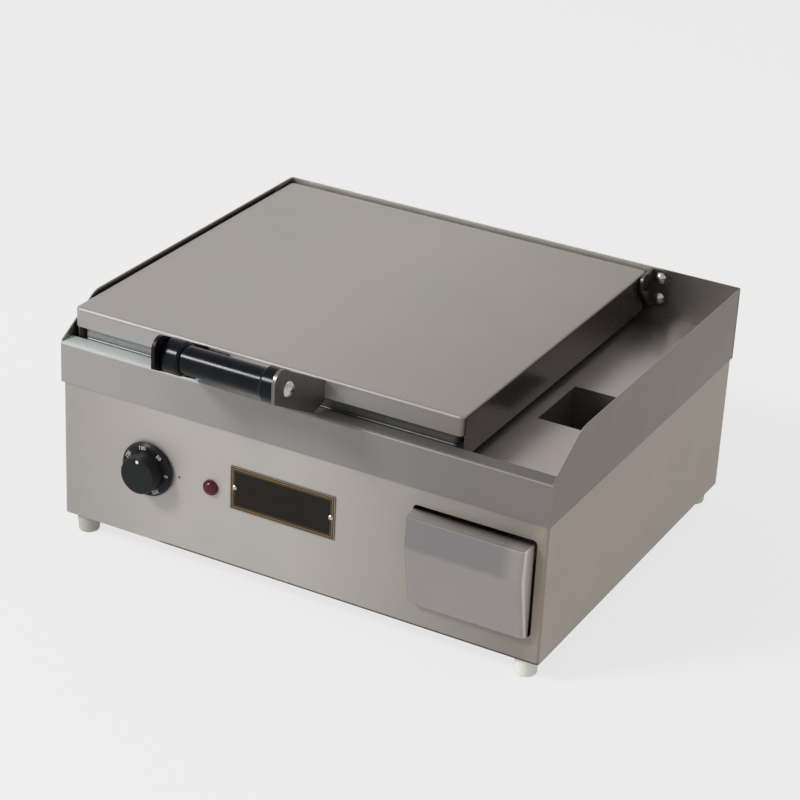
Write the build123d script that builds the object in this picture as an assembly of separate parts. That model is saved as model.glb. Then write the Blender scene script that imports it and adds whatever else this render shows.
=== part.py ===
from build123d import *
import math
import os

# Countertop sandwich maker with a hinged lid. Millimetres, +Z up, X to the right, Y to the back.
# The shapes are drawn with X = 0 on the centre line, Y = 0 on the front face of the band and Z = 0 on
# the table. save() then moves them along Y, so that the origin lies under the middle of the whole.

# Overall sizes
width = 460.0
depth = 374.0
foot_height = 17.2
body_height = 148.5
ledge_rise = 15.4
guard_rise = 44.7
sheet = 1.2
bend = 1.3
cut_margin = 1.0
same_place = 0.1

# Band, ledge and tray
band_height = 37.4
ledge_depth = 17.0
guard_slant_y = 50.0
guard_slant_rise = 0.5
guard_corner = 24.0
hole_inset = 49.0
hole_y = 161.5
hole_width = 50.0
hole_depth = 72.0
chute_wall = 1.0
chute_flange = 6.0
chute_gap = 4.0
floor_corner = 2.6
floor_opening_inset = 21.0

# Casing and covers
cover_sheet = 1.0
casing_flange = 8.0
casing_bend = 2.0
front_hole_clearance = 0.5
screw_hole_clearance = 0.2
cover_inset = 3.0
cover_screw_radius = 1.5
cover_screw_head = 3.0
cover_screw_head_height = 2.0
cover_screw_length = 6.0
cover_screws_per_side = 3
cover_screw_inset_y = 39.0
louvre_count = 9
louvre_length = 40.0
louvre_width = 3.0
louvre_pitch = 9.0
louvre_x = 20.0
louvre_rise = 65.8

# Feet
foot_radius = 10.0
foot_bottom_radius = 9.0
foot_round = 2.4
foot_inset_x = 16.0
foot_inset_y = 13.0
foot_screw_radius = 2.0
foot_screw_head = 4.0
foot_screw_head_height = 2.4
foot_counterbore_depth = 6.0
foot_nut_radius = 3.8
foot_nut_height = 3.2
foot_screw_end = 1.0

# Lid
lid_gap_left = 1.0
lid_front = 15.1
lid_overhang = 10.8
lid_rise = 17.4
channel_width = 85.5
lid_sheet = 1.2
lid_edge = 2.5
lid_corner = 5.0
lid_front_skirt = 17.1
lid_side_skirt = 37.1
lid_rear_skirt = 9.1

# Cooking plates
plate_gap_side = 7.3
plate_gap_front = 4.9
plate_gap_rear = 11.0
plate_corner = 4.0
plate_thickness = 10.0
lower_plate_height = 14.5
lower_plate_rim = 12.0
plate_gap = 0.5
upper_plate_thickness = 10.0

# Heating elements, the same bend for both plates
element_radius = 3.6
element_bend = 22.0
element_legs = 4
element_inset_side = 51.0
element_inset_front = 32.0
element_inset_rear = 40.0
lower_element_tail = 32.0
upper_element_tail = 8.0
element_hole = 7.9
clamp_sheet = 1.2
clamp_inset = 16.0
lower_insulation_thickness = 20.0
upper_insulation_thickness = 7.0
upper_insulation_inset_rear = 54.0
insulation_inset = 18.0
shield_sheet = 1.2
shield_lip = 8.0
stud_radius = 3.0
stud_inset_x = 34.0
stud_inset_y = 24.0
stud_nut_radius = 5.5
stud_nut_height = 5.0
stud_end = 2.0

# Hinge
pin_inset = 15.8
pin_drop = 10.6
pin_radius = 2.5
pin_float = 7.5
slot_clearance = 0.2
running_clearance = 0.05
pin_head_radius = 3.9
pin_head = 1.6
pin_collar_clearance = 0.2
bracket_gap = 2.2
bracket_thickness = 2.5
bracket_drop = 0.4
bracket_rise = 9.3
bracket_reach = 26.0
bracket_nose = 14.0
bracket_leaf = 17.5
bracket_corner = 6.5
hinge_screw_x = 9.6
hinge_screw_rise = 8.0
hinge_screw_drop = 7.8
hinge_screw_radius = 2.5
hinge_screw_head = 5.6
hinge_screw_head_height = 3.3
hinge_nut_radius = 4.4
hinge_nut_height = 4.0
hinge_screw_end = 1.0
left_plate_thickness = 1.5
left_plate_reach = 15.0
doubler_thickness = 3.0
doubler_reach = 11.0
doubler_rise = 6.5
doubler_rear = 5.0

# Handle
handle_shift = 2.0
arm_spacing = 114.4
arm_thickness = 3.0
arm_top_drop = 1.6
arm_angle = 28.3
arm_height = 28.4
arm_reach = 78.1
arm_corner = 10.0
arm_low_drop = 23.9
arm_foot_drop = 20.4
arm_flange_width = 24.0
arm_flange_drop = 3.3
arm_flange_height = 12.0
grip_reach = 57.4
grip_rise = 13.7
grip_radius = 11.8
grip_collar_radius = 14.5
grip_collar_length = 17.0
grip_collar_round = 2.5
grip_bore_clearance = 0.3
rod_radius = 4.0
grip_screw_radius = 3.0
grip_screw_length = 14.0
grip_screw_head = 6.8
grip_screw_head_height = 4.4
rivet_radius = 2.0
rivet_head = 3.6
rivet_head_height = 1.8
rivet_inner_head_height = 1.4
rivet_first = 7.5
rivet_spacing = 11.0

# Brackets that carry the upper plate in the lid
lid_bracket_sheet = 1.5
lid_bracket_length = 30.0
lid_bracket_reach = 20.0
lid_bracket_height = 9.0
lid_bracket_inset_front = 50.0
lid_bracket_inset_rear = 61.0
lid_screw_radius = 2.0
lid_screw_head = 3.5
lid_screw_head_height = 2.2
lid_screw_depth = 6.0
lid_screw_reach = 12.0

# Drawer
drawer_inset = 65.0
drawer_width = 106.0
drawer_rise = 25.6
drawer_height = 82.7
drawer_gap_side = 2.0
drawer_gap_top = 3.0
drawer_gap_low = 2.0
drawer_lip = 15.0
drawer_crease_height = 56.0
drawer_crease_out = 17.0
drawer_low_out = 5.5
drawer_corner = 4.5
drawer_opening_corner = 4.0
pan_inset = 2.0
pan_length = 290.0
pan_height = 64.0
pan_sheet = 1.0
pan_corner = 4.0
rail_clearance = 0.8
rail_sheet = 1.2
rail_ledge = 11.0
rail_height = 22.0
rail_nut_clearance = 1.5
rail_overrun = 40.0

# Control knob, thermostat and pilot lamp
control_rise = 69.1
knob_inset = 88.5
knob_gap = 1.6
dial_radius = 24.5
dial_edge = 2.0
dial_thickness = 4.0
knob_base_radius = 18.0
knob_radius = 16.5
knob_depth = 13.0
knob_edge = 1.5
pointer_radius = 1.7
pointer_depth = 0.4
pointer_rise = 13.2
thermostat_corner = 3.0
shaft_radius = 3.0
shaft_reach = 13.0
shaft_depth = 12.0
shaft_flat = 1.65
shaft_flat_gap = 2.0
shaft_end_gap = 2.0
thermostat_width = 42.0
thermostat_height = 38.0
thermostat_depth = 30.0
thermostat_nose_radius = 9.0
thermostat_nose_length = 6.0
thermostat_plate = 1.5
thermostat_screw_x = 14.0
thermostat_screw_radius = 2.0
thermostat_screw_head = 3.6
thermostat_screw_head_height = 0.8
sensor_radius = 3.0
sensor_inset = 42.0
sensor_length = 80.0
sensor_hole_radius = 3.0
capillary_radius = 1.0
capillary_bend = 12.0
lamp_spacing = 61.8
lamp_radius = 6.0
lens_radius = 7.0
lens_flange = 1.6
lens_dome = 4.5
lens_stem_radius = 4.5
lens_stem = 8.0
lamp_length = 26.0
lamp_clip_radius = 9.0
lamp_clip = 1.5
lamp_bore_clearance = 0.1
lamp_tab_width = 4.8
lamp_tab_length = 8.0
lamp_tab_thickness = 0.8

# Nameplate
nameplate_spacing = 69.2
nameplate_rise = 75.8
nameplate_width = 100.0
nameplate_height = 40.0
nameplate_thickness = 0.8
nameplate_hole_clearance = 0.1
nameplate_rivet_inset = 4.0
nameplate_rivet_radius = 1.2
nameplate_rivet_head = 2.2
nameplate_rivet_head_height = 1.0
nameplate_rivet_length = 3.0

# Mains inlet and wiring
gland_inset = 55.0
gland_rise = 43.6
gland_bore = 4.5
gland_thread_radius = 10.0
gland_flange_radius = 13.0
gland_flange = 5.0
gland_cap_radius = 11.5
gland_cap = 12.0
gland_cap_round = 2.5
gland_inside = 14.0
gland_nut_radius = 13.0
gland_nut_thickness = 5.0
terminal_inset_x = 110.0
terminal_inset_y = 56.6
terminal_width = 48.0
terminal_depth = 26.0
terminal_height = 20.0
terminal_ways = 4
terminal_screw_hole_radius = 2.2
terminal_screw_hole_depth = 6.0
earth_inset_x = 40.0
earth_inset_y = 71.6
earth_radius = 2.5
earth_height = 16.0
earth_nut_radius = 4.4
earth_nut_height = 4.0
wire_radius = 1.3
wire_bend = 6.0
wire_run = 16.0
wire_lane = 3.2
element_wire_rise = 73.6
thermostat_wire_x = 8.0
lid_lead_inset = 35.3
lid_lead_radius = 3.0
lid_notch_width = 12.0
lid_lead_bend = 12.0
lid_lead_gap = 0.5
lid_lead_drop = 50.7
grommet_radius = 7.0
grommet_neck_radius = 5.0
grommet_lip = 1.5
lid_terminal_width = 30.0
lid_terminal_depth = 18.0
lid_terminal_height = 6.0
lid_terminal_inset = 24.0
lid_wire_rise = 0.5
lid_wire_inset = 6.0
lid_wire_x = 7.0

# Sizes that follow from the ones above: the casing
half_width = width / 2
inner_half = half_width - sheet
floor_z = foot_height + body_height
ledge_z = floor_z + ledge_rise
guard_z = floor_z + guard_rise
guard_slant_start_z = ledge_z + guard_slant_rise
casing_low = foot_height + cover_sheet
casing_top = floor_z - sheet
casing_front = sheet
panel_inside = casing_front + sheet
guard_inside = depth - sheet
rear_panel_inside = guard_inside - sheet
band_low = ledge_z - band_height
louvre_z = foot_height + louvre_rise
hole_x = half_width - hole_inset

# The two plates and the lid, from the left hinge plate to the grease channel
left_plate_x = -inner_half
lid_left = left_plate_x + left_plate_thickness + lid_gap_left
lid_right = inner_half - channel_width
lid_x = (lid_left + lid_right) / 2
lid_width = lid_right - lid_left
pin_y = guard_inside - pin_inset
lid_rear = pin_y + lid_overhang
plate_left = lid_left + plate_gap_side
plate_right = lid_right - plate_gap_side
plate_front = lid_front + plate_gap_front
plate_rear = pin_y - plate_gap_rear
lower_plate_z = floor_z + lower_plate_height
lower_plate_inside_z = lower_plate_z - plate_thickness
upper_plate_z = lower_plate_z + plate_gap
upper_plate_top = upper_plate_z + upper_plate_thickness
lid_z = upper_plate_top + lid_rise
lid_inside_z = lid_z - lid_sheet
pin_z = lid_z - pin_drop

# The layers on the plates
element_leg_pitch = (plate_right - plate_left - 2 * element_inset_side) / (element_legs - 1)
element_front = plate_front + element_inset_front
element_rear = plate_rear - element_inset_rear
lower_element_z = lower_plate_inside_z - element_radius
lower_clamp_top = lower_element_z - element_radius
lower_clamp_low = lower_clamp_top - clamp_sheet
lower_insulation_low = lower_clamp_low - lower_insulation_thickness
shield_low = lower_insulation_low - shield_sheet
upper_element_z = upper_plate_top
upper_clamp_low = upper_element_z + element_radius
upper_clamp_top = upper_clamp_low + clamp_sheet
upper_insulation_rear = plate_rear - upper_insulation_inset_rear
sensor_front = plate_front + sensor_inset
lid_bracket_front = plate_front + lid_bracket_inset_front
lid_bracket_rear = plate_rear - lid_bracket_inset_rear

# The hinge and the handle
bracket_x = lid_right + bracket_gap
bracket_outer_x = bracket_x + bracket_thickness
bracket_top = guard_z - bracket_drop
bracket_bottom = floor_z + bracket_rise
hinge_screw_low_z = bracket_bottom + hinge_screw_rise
hinge_screw_high_z = bracket_top - hinge_screw_drop
left_plate_front = pin_y - left_plate_reach
handle_x = lid_x + handle_shift
arm_left_x = handle_x - arm_spacing / 2
arm_right_x = handle_x + arm_spacing / 2
arm_top_z = lid_z - arm_top_drop
arm_low_z = lid_z - arm_low_drop
arm_foot_z = lid_z - arm_foot_drop
arm_front = lid_front - arm_reach
arm_flange_high = lid_z - arm_flange_drop
arm_flange_low = arm_flange_high - arm_flange_height
arm_flange_front = lid_front - arm_thickness
grip_length = arm_spacing - 2 * arm_thickness
grip_y = lid_front - grip_reach
grip_z = lid_z + grip_rise

# The drawer, the controls and the wiring
drawer_x = half_width - drawer_inset
drawer_low = foot_height + drawer_rise
drawer_top = drawer_low + drawer_height
drawer_crease_z = drawer_low + drawer_crease_height
pan_width = drawer_width - 2 * pan_inset
pan_top = drawer_low + pan_height
rail_low = drawer_low - rail_sheet
rail_top = drawer_low + rail_height
rail_end = pan_length + rail_overrun
chute_low = pan_top + chute_gap
control_z = foot_height + control_rise
knob_x = -half_width + knob_inset
knob_back = casing_front - knob_gap
lamp_x = knob_x + lamp_spacing
nameplate_x = lamp_x + nameplate_spacing
nameplate_z = foot_height + nameplate_rise
gland_x = -half_width + gland_inset
gland_z = foot_height + gland_rise
terminal_x = -half_width + terminal_inset_x
terminal_y = rear_panel_inside - terminal_inset_y
earth_x = -half_width + earth_inset_x
earth_y = rear_panel_inside - earth_inset_y
element_wire_z = foot_height + element_wire_rise
lid_lead_x = lid_left + lid_lead_inset
lid_lead_low = floor_z - lid_lead_drop
lid_terminal_y = plate_rear - lid_terminal_inset
lid_wire_z = pin_z + lid_wire_rise
lid_wire_rear = plate_rear - lid_wire_inset

# The reach of the whole along Y
rear_nut_reach = depth + hinge_nut_height + hinge_screw_end
gland_reach = guard_inside + gland_flange + gland_cap
front_reach = arm_front
rear_reach = max(rear_nut_reach, gland_reach)
middle_y = (front_reach + rear_reach) / 2


def save(name, *solids):
    """Write one node, moved so that the origin lies under the middle of the whole."""
    placed = [Pos(0, -middle_y, 0) * solid for solid in solids]
    shape = placed[0] if len(placed) == 1 else Compound(children=placed)
    export_step(shape, os.path.join("parts", name + ".step"))


def block(x_range, y_range, z_range):
    """A rectangular block between two values on each axis."""
    size = [high - low for low, high in (x_range, y_range, z_range)]
    middle = [(high + low) / 2 for low, high in (x_range, y_range, z_range)]
    return Pos(*middle) * Box(*size)


def around(middle, size):
    """The range of a size centred on a value."""
    return (middle - size / 2, middle + size / 2)


def past(low, high):
    """A range that runs a little past both its ends, for a cut that goes through."""
    return (low - cut_margin, high + cut_margin)


def rod_x(x_range, y, z, radius):
    """A round bar along X."""
    low, high = x_range
    return Pos((low + high) / 2, y, z) * Rot(0, 90, 0) * Cylinder(radius, high - low)


def rod_y(x, y_range, z, radius):
    """A round bar along Y."""
    low, high = y_range
    return Pos(x, (low + high) / 2, z) * Rot(90, 0, 0) * Cylinder(radius, high - low)


def rod_z(x, y, z_range, radius):
    """A round bar along Z."""
    low, high = z_range
    return Pos(x, y, (low + high) / 2) * Cylinder(radius, high - low)


def hexagon_y(x, y_range, z, radius):
    """A hexagonal nut along Y, given by half its width across flats."""
    low, high = y_range
    outline = RegularPolygon(radius, 6, major_radius=False)
    return extrude(Plane(origin=(x, low, z), x_dir=(1, 0, 0), z_dir=(0, 1, 0)) * outline, high - low)


def hexagon_z(x, y, z_range, radius):
    """A hexagonal nut along Z, given by half its width across flats."""
    low, high = z_range
    return extrude(Pos(x, y, low) * RegularPolygon(radius, 6, major_radius=False), high - low)


def dome(radius, height):
    """A low domed head that stands on the plane Z = 0."""
    sphere_radius = (radius ** 2 + height ** 2) / (2 * height)
    half_angle = math.asin(radius / sphere_radius) / 2
    crown = (sphere_radius * math.sin(half_angle), height - sphere_radius * (1 - math.cos(half_angle)))
    outline = make_face([*Polyline((0, height), (0, 0), (radius, 0)).edges(),
                         ThreePointArc((radius, 0), crown, (0, height)).edge()])
    return revolve(Plane.XZ * outline, Axis.Z)


def dome_y(x, y, z, radius, height, direction):
    """A low domed head on the plane y, bulging along Y in the given direction."""
    return Pos(x, y, z) * Rot(-90 * direction, 0, 0) * dome(radius, height)


def dome_x(x, y, z, radius, height, direction):
    """A low domed head on the plane x, bulging along X in the given direction."""
    return Pos(x, y, z) * Rot(0, 90 * direction, 0) * dome(radius, height)


def offset_points(points, distance):
    """Points of an open outline moved to the left of its direction by a distance."""
    moved = []
    normals = []
    for start, end in zip(points, points[1:]):
        length = math.dist(start, end)
        normals.append(((start[1] - end[1]) / length, (end[0] - start[0]) / length))
    for index, point in enumerate(points):
        before = normals[max(index - 1, 0)]
        after = normals[min(index, len(normals) - 1)]
        share = distance / (1 + before[0] * after[0] + before[1] * after[1])
        moved.append((point[0] + (before[0] + after[0]) * share, point[1] + (before[1] + after[1]) * share))
    return moved


def turns_left(before, point, after):
    """Whether an outline turns to the left at a point."""
    first = (point[0] - before[0], point[1] - before[1])
    second = (after[0] - point[0], after[1] - point[1])
    return first[0] * second[1] - first[1] * second[0] > 0


def sheet_section(points, thickness, inside_bend):
    """The cross-section of a bent sheet whose right-hand face runs through the points."""
    corners = list(zip(points, points[1:], points[2:]))
    near = [inside_bend + thickness if turns_left(*corner) else inside_bend for corner in corners]
    far = [inside_bend if turns_left(*corner) else inside_bend + thickness for corner in corners]
    moved = offset_points(points, thickness)
    if corners:
        first = FilletPolyline(*points, radius=near)
        second = FilletPolyline(*moved, radius=far)
    else:
        first = Line(*points)
        second = Line(*moved)
    return make_face([*first.edges(), *second.edges(), Line(points[0], moved[0]).edge(),
                      Line(points[-1], moved[-1]).edge()])


def along_x(section, x_range):
    """Extrude a section that is drawn in Y and Z along X."""
    low, high = x_range
    return extrude(Plane(origin=(low, 0, 0), x_dir=(0, 1, 0), z_dir=(1, 0, 0)) * section, high - low)


def along_z(section, z_range):
    """Extrude a section that is drawn in X and Y along Z."""
    low, high = z_range
    return extrude(Pos(0, 0, low) * section, high - low)


def x_edges_at(shape, y, z):
    """The edges along X that lie at one place in Y and Z."""
    return [edge for edge in shape.edges().filter_by(Axis.X)
            if math.dist((edge.center().Y, edge.center().Z), (y, z)) < same_place]


def slot_x(x_range, y, z_range, half):
    """A slot with round ends that runs along Z and goes through along X."""
    low, high = z_range
    straight = block(x_range, around(y, 2 * half), (low, high))
    return straight + rod_x(x_range, y, low, half) + rod_x(x_range, y, high, half)


def swept(points, radius, bends):
    """A round bar through the points, with rounded bends."""
    path = Wire(FilletPolyline(*points, radius=bends).edges())
    start = Plane(origin=path @ 0, z_dir=path % 0)
    return sweep(start * Circle(radius), path=path)


def casing():
    """Front panel and both sides in one bent sheet, with flanges at the back and the bottom."""
    flange_x = inner_half - casing_flange
    outline = [(-flange_x, rear_panel_inside), (-inner_half, rear_panel_inside), (-inner_half, casing_front),
               (inner_half, casing_front), (inner_half, rear_panel_inside), (flange_x, rear_panel_inside)]
    shell = along_z(sheet_section(outline, sheet, casing_bend), (casing_low, casing_top))
    flange_z = (casing_low, casing_low + sheet)
    side = inner_half - sheet
    front_y = (panel_inside, casing_front + casing_flange)
    shell += block((-side, side), front_y, flange_z)
    for direction in (-1, 1):
        x_range = sorted((direction * side, direction * flange_x))
        shell += block(x_range, (panel_inside, rear_panel_inside - sheet), flange_z)
    through = past(casing_front, panel_inside)
    opening_z = (drawer_low - drawer_gap_low, drawer_top + drawer_gap_top)
    opening = block(around(drawer_x, drawer_width + 2 * drawer_gap_side), through, opening_z)
    shell -= fillet(opening.edges().filter_by(Axis.Y), drawer_opening_corner)
    shell -= rod_y(knob_x, through, control_z, thermostat_nose_radius + front_hole_clearance)
    shell -= rod_y(lamp_x, through, control_z, lamp_radius + lamp_bore_clearance)
    for x in (knob_x - thermostat_screw_x, knob_x + thermostat_screw_x):
        shell -= rod_y(x, through, control_z, thermostat_screw_radius + screw_hole_clearance)
    for x in nameplate_rivet_places():
        shell -= rod_y(x, through, nameplate_z, nameplate_rivet_radius + nameplate_hole_clearance)
    for x, y in cover_screw_places():
        shell -= rod_z(x, y, past(casing_low, casing_low + sheet), cover_screw_radius)
    for x, z in panel_screw_places():
        shell -= rod_y(x, past(rear_panel_inside - sheet, rear_panel_inside), z, cover_screw_radius)
    return shell


def nameplate_rivet_places():
    """The X places of the two rivets at the ends of the nameplate."""
    reach = nameplate_width / 2 - nameplate_rivet_inset
    return [nameplate_x - reach, nameplate_x + reach]


def cover_screw_places():
    """The X and Y places of the screws under the bottom cover."""
    x = inner_half - sheet - (casing_flange - sheet) / 2
    start = cover_screw_inset_y
    step = (depth - 2 * start) / (cover_screws_per_side - 1)
    return [(direction * x, start + index * step)
            for direction in (-1, 1) for index in range(cover_screws_per_side)]


def panel_screw_places():
    """The X and Z places of the screws in the rear panel."""
    x = inner_half - sheet - (casing_flange - sheet) / 2
    low = casing_low + 2 * casing_flange
    high = band_low - 2 * casing_flange
    step = (high - low) / (cover_screws_per_side - 1)
    return [(direction * x, low + index * step)
            for direction in (-1, 1) for index in range(cover_screws_per_side)]


def rear_panel():
    """The flat rear panel, with the hole for the cable gland and two rows of vent slots."""
    half = inner_half - bend
    panel = block((-half, half), (rear_panel_inside, guard_inside), (casing_low, casing_top))
    through = past(rear_panel_inside, guard_inside)
    panel -= rod_y(gland_x, through, gland_z, gland_thread_radius + screw_hole_clearance)
    for x, z in panel_screw_places():
        panel -= rod_y(x, through, z, cover_screw_radius + screw_hole_clearance)
    first_x = louvre_x - louvre_pitch * (louvre_count - 1) / 2
    for index in range(louvre_count):
        x = first_x + index * louvre_pitch
        panel -= block(around(x, louvre_width), through, around(louvre_z, louvre_length))
    return panel


def bottom_cover():
    """The flat bottom cover under the casing's flanges."""
    side = inner_half - cover_inset
    y_range = (casing_front + cover_inset, guard_inside - cover_inset)
    z_range = (foot_height, casing_low)
    cover = block((-side, side), y_range, z_range)
    through = past(foot_height, casing_low)
    for x, y in cover_screw_places():
        cover -= rod_z(x, y, through, cover_screw_radius + screw_hole_clearance)
    for x, y in foot_places():
        cover -= rod_z(x, y, through, foot_screw_radius + screw_hole_clearance)
    cover -= rod_z(earth_x, earth_y, through, earth_radius + screw_hole_clearance)
    first_y = depth / 2 - louvre_pitch * (louvre_count - 1) / 2
    for index in range(louvre_count):
        y = first_y + index * louvre_pitch
        cover -= block(around(lid_x, louvre_length), around(y, louvre_width), through)
    return cover


def cover_screw(x, y):
    """A screw under the bottom cover, along Z."""
    head_z = (foot_height - cover_screw_head_height, foot_height)
    return (rod_z(x, y, head_z, cover_screw_head)
            + rod_z(x, y, (foot_height, foot_height + cover_screw_length), cover_screw_radius))


def panel_screw(x, z):
    """A screw in the rear panel, along Y."""
    shank_y = (guard_inside - cover_screw_length, guard_inside)
    return (rod_y(x, shank_y, z, cover_screw_radius)
            + dome_y(x, guard_inside, z, cover_screw_head, cover_screw_head_height, 1))


def foot_places():
    """The X and Y places of the four feet."""
    x = inner_half - foot_inset_x
    return [(direction * x, y) for direction in (-1, 1)
            for y in (casing_front + foot_inset_y, guard_inside - foot_inset_y)]


def foot(x, y):
    """One tapered foot with a recess from below for its screw."""
    outline = make_face(Polyline((0, 0), (foot_bottom_radius, 0), (foot_radius, foot_height),
                                 (0, foot_height), close=True))
    body = Pos(x, y, 0) * revolve(Plane.XZ * outline, Axis.Z)
    low_edge = body.edges().filter_by(GeomType.CIRCLE).sort_by(Axis.Z)[0]
    body = fillet(low_edge, foot_round)
    body -= rod_z(x, y, (-cut_margin, foot_counterbore_depth), foot_screw_head + screw_hole_clearance)
    body -= rod_z(x, y, past(foot_counterbore_depth, foot_height), foot_screw_radius + screw_hole_clearance)
    return body


def foot_screw(x, y):
    """The screw that holds a foot, with its nut on the bottom cover."""
    head_z = (foot_counterbore_depth - foot_screw_head_height, foot_counterbore_depth)
    nut_z = (casing_low + sheet, casing_low + sheet + foot_nut_height)
    shank_z = (foot_counterbore_depth, nut_z[1] + foot_screw_end)
    nut = hexagon_z(x, y, nut_z, foot_nut_radius)
    return rod_z(x, y, head_z, foot_screw_head) + rod_z(x, y, shank_z, foot_screw_radius) + nut


def splash_guard():
    """Left, back and right walls in one bent sheet, with slanted front ends."""
    outline = [(-half_width, sheet), (-half_width, depth), (half_width, depth), (half_width, sheet)]
    wall = along_z(sheet_section(outline[::-1], sheet, bend), (band_low, guard_z))
    above = guard_z + cut_margin
    before = sheet - cut_margin
    slant = Polyline((before, guard_slant_start_z), (guard_slant_y, guard_z), (guard_slant_y, above),
                     (before, above), close=True)
    wall -= along_x(make_face(slant), past(-half_width, half_width))
    wall = fillet(x_edges_at(wall, guard_slant_y, guard_z), guard_corner)
    through = past(guard_inside, depth)
    for x, z in hinge_screw_places():
        wall -= rod_y(x, through, z, hinge_screw_radius + screw_hole_clearance)
    return wall


def front_band():
    """The front band, the ledge in front of the lid and the step down to the tray floor."""
    outline = [(0, band_low), (0, ledge_z), (ledge_depth, ledge_z), (ledge_depth, floor_z)]
    moved = sheet_section(outline[::-1], sheet, bend)
    band = along_x(moved, (-half_width, half_width))
    for direction in (-1, 1):
        x_range = sorted((direction * inner_half, direction * (half_width + cut_margin)))
        band -= block(x_range, (sheet, ledge_depth + cut_margin), past(band_low, ledge_z))
    return band


def tray_floor():
    """The recessed tray floor with the drain hole and the opening under the lower plate."""
    floor = block((-inner_half, inner_half), (panel_inside, guard_inside), (casing_top, floor_z))
    floor = fillet(floor.edges().filter_by(Axis.Z).group_by(Axis.Y)[-1], floor_corner)
    through = past(casing_top, floor_z)
    floor -= block(around(hole_x, hole_width), around(hole_y, hole_depth), through)
    opening_x = (plate_left + floor_opening_inset, plate_right - floor_opening_inset)
    opening_y = (plate_front + floor_opening_inset, plate_rear - floor_opening_inset)
    floor -= block(opening_x, opening_y, through)
    floor -= rod_z(lid_lead_x, pin_y, through, grommet_neck_radius)
    return floor


def drain_chute():
    """The square duct under the drain hole, with a flange against the tray floor."""
    outer_x = around(hole_x, hole_width + 2 * chute_wall)
    outer_y = around(hole_y, hole_depth + 2 * chute_wall)
    chute = block(outer_x, outer_y, (chute_low, casing_top))
    flange_x = around(hole_x, hole_width + 2 * chute_flange)
    flange_y = around(hole_y, hole_depth + 2 * chute_flange)
    chute += block(flange_x, flange_y, (casing_top - chute_wall, casing_top))
    through = past(chute_low, casing_top)
    return chute - block(around(hole_x, hole_width), around(hole_y, hole_depth), through)


def plate_slab(z_range):
    """A flat plate with rounded vertical corners."""
    slab = block((plate_left, plate_right), (plate_front, plate_rear), z_range)
    return fillet(slab.edges().filter_by(Axis.Z), plate_corner)


def lower_plate():
    """The lower cooking plate: a thick slab with a rim below that stands on the tray floor."""
    slab = plate_slab((floor_z, lower_plate_z))
    inside_x = (plate_left + lower_plate_rim, plate_right - lower_plate_rim)
    inside_y = (plate_front + lower_plate_rim, plate_rear - lower_plate_rim)
    slab -= block(inside_x, inside_y, (floor_z - cut_margin, lower_plate_inside_z))
    top_edges = slab.faces().sort_by(Axis.Z)[-1].outer_wire().edges()
    return chamfer(top_edges, bend / 2)


def upper_plate():
    """The upper cooking plate, with grooves in its back for the heating element."""
    slab = plate_slab((upper_plate_z, upper_plate_top))
    low_edges = slab.faces().sort_by(Axis.Z)[0].outer_wire().edges()
    slab = chamfer(low_edges, bend / 2)
    slab -= element_groove(upper_element_z)
    hole_z = (upper_plate_top - lid_screw_depth, upper_plate_top + cut_margin)
    for x, y in lid_bracket_screw_places():
        slab -= rod_z(x, y, hole_z, lid_screw_radius)
    return slab


def element_points(z, rear):
    """The corners of a tubular element: legs along Y, joined at the front and at the rear."""
    points = []
    first_x = lid_x - element_leg_pitch * (element_legs - 1) / 2
    for index in range(element_legs):
        x = first_x + index * element_leg_pitch
        rear_end = rear if index in (0, element_legs - 1) else element_rear
        ends = [(x, rear_end, z), (x, element_front, z)]
        points += ends if index % 2 == 0 else ends[::-1]
    return points


def element_tube(z, tail):
    """A tubular heating element, with its two ends turned up or down by the tail's length."""
    points = element_points(z, element_rear)
    points = [(*points[0][:2], z + tail)] + points + [(*points[-1][:2], z + tail)]
    tail_bend = 2 * element_radius
    bends = [tail_bend] + [element_bend] * (2 * element_legs - 2) + [tail_bend]
    return swept(points, element_radius, bends)


def element_groove(z):
    """The space that an element takes in a plate, open at its two ends."""
    points = element_points(z, element_rear + element_radius)
    return swept(points, element_radius, [element_bend] * (2 * element_legs - 2))


def element_end_places():
    """The X and Y places of the two ends of an element."""
    points = element_points(0, element_rear)
    return [points[0][:2], points[-1][:2]]


def sensor_place():
    """The X and Y place where the capillary leaves the sensor and goes down."""
    return (lid_x - element_leg_pitch, sensor_front + sensor_length + capillary_bend)


def with_element_holes(layer, z_range):
    """Cut the holes for the element's ends and for the capillary through a layer."""
    through = past(*z_range)
    for x, y in element_end_places():
        layer -= rod_z(x, y, through, element_hole)
    x, y = sensor_place()
    return layer - rod_z(x, y, through, sensor_hole_radius)


def element_clamp(z_range):
    """The flat sheet that presses an element against its plate."""
    clamp = block((plate_left + clamp_inset, plate_right - clamp_inset),
                  (plate_front + clamp_inset, plate_rear - clamp_inset), z_range)
    return with_element_holes(clamp, z_range)


def stud_places():
    """The X and Y places of the studs that hold the lower plate's layers."""
    return [(x, y) for x in (plate_left + stud_inset_x, lid_x, plate_right - stud_inset_x)
            for y in (plate_front + stud_inset_y, plate_rear - stud_inset_y)]


def insulation_board(z_range, rear):
    """A board of insulation over an element's clamp."""
    return block((plate_left + insulation_inset, plate_right - insulation_inset),
                 (plate_front + insulation_inset, rear), z_range)


def with_stud_holes(shape, z_range):
    """Cut the stud holes through a layer under the lower plate."""
    for x, y in stud_places():
        shape -= rod_z(x, y, past(*z_range), stud_radius + screw_hole_clearance)
    return shape


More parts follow.
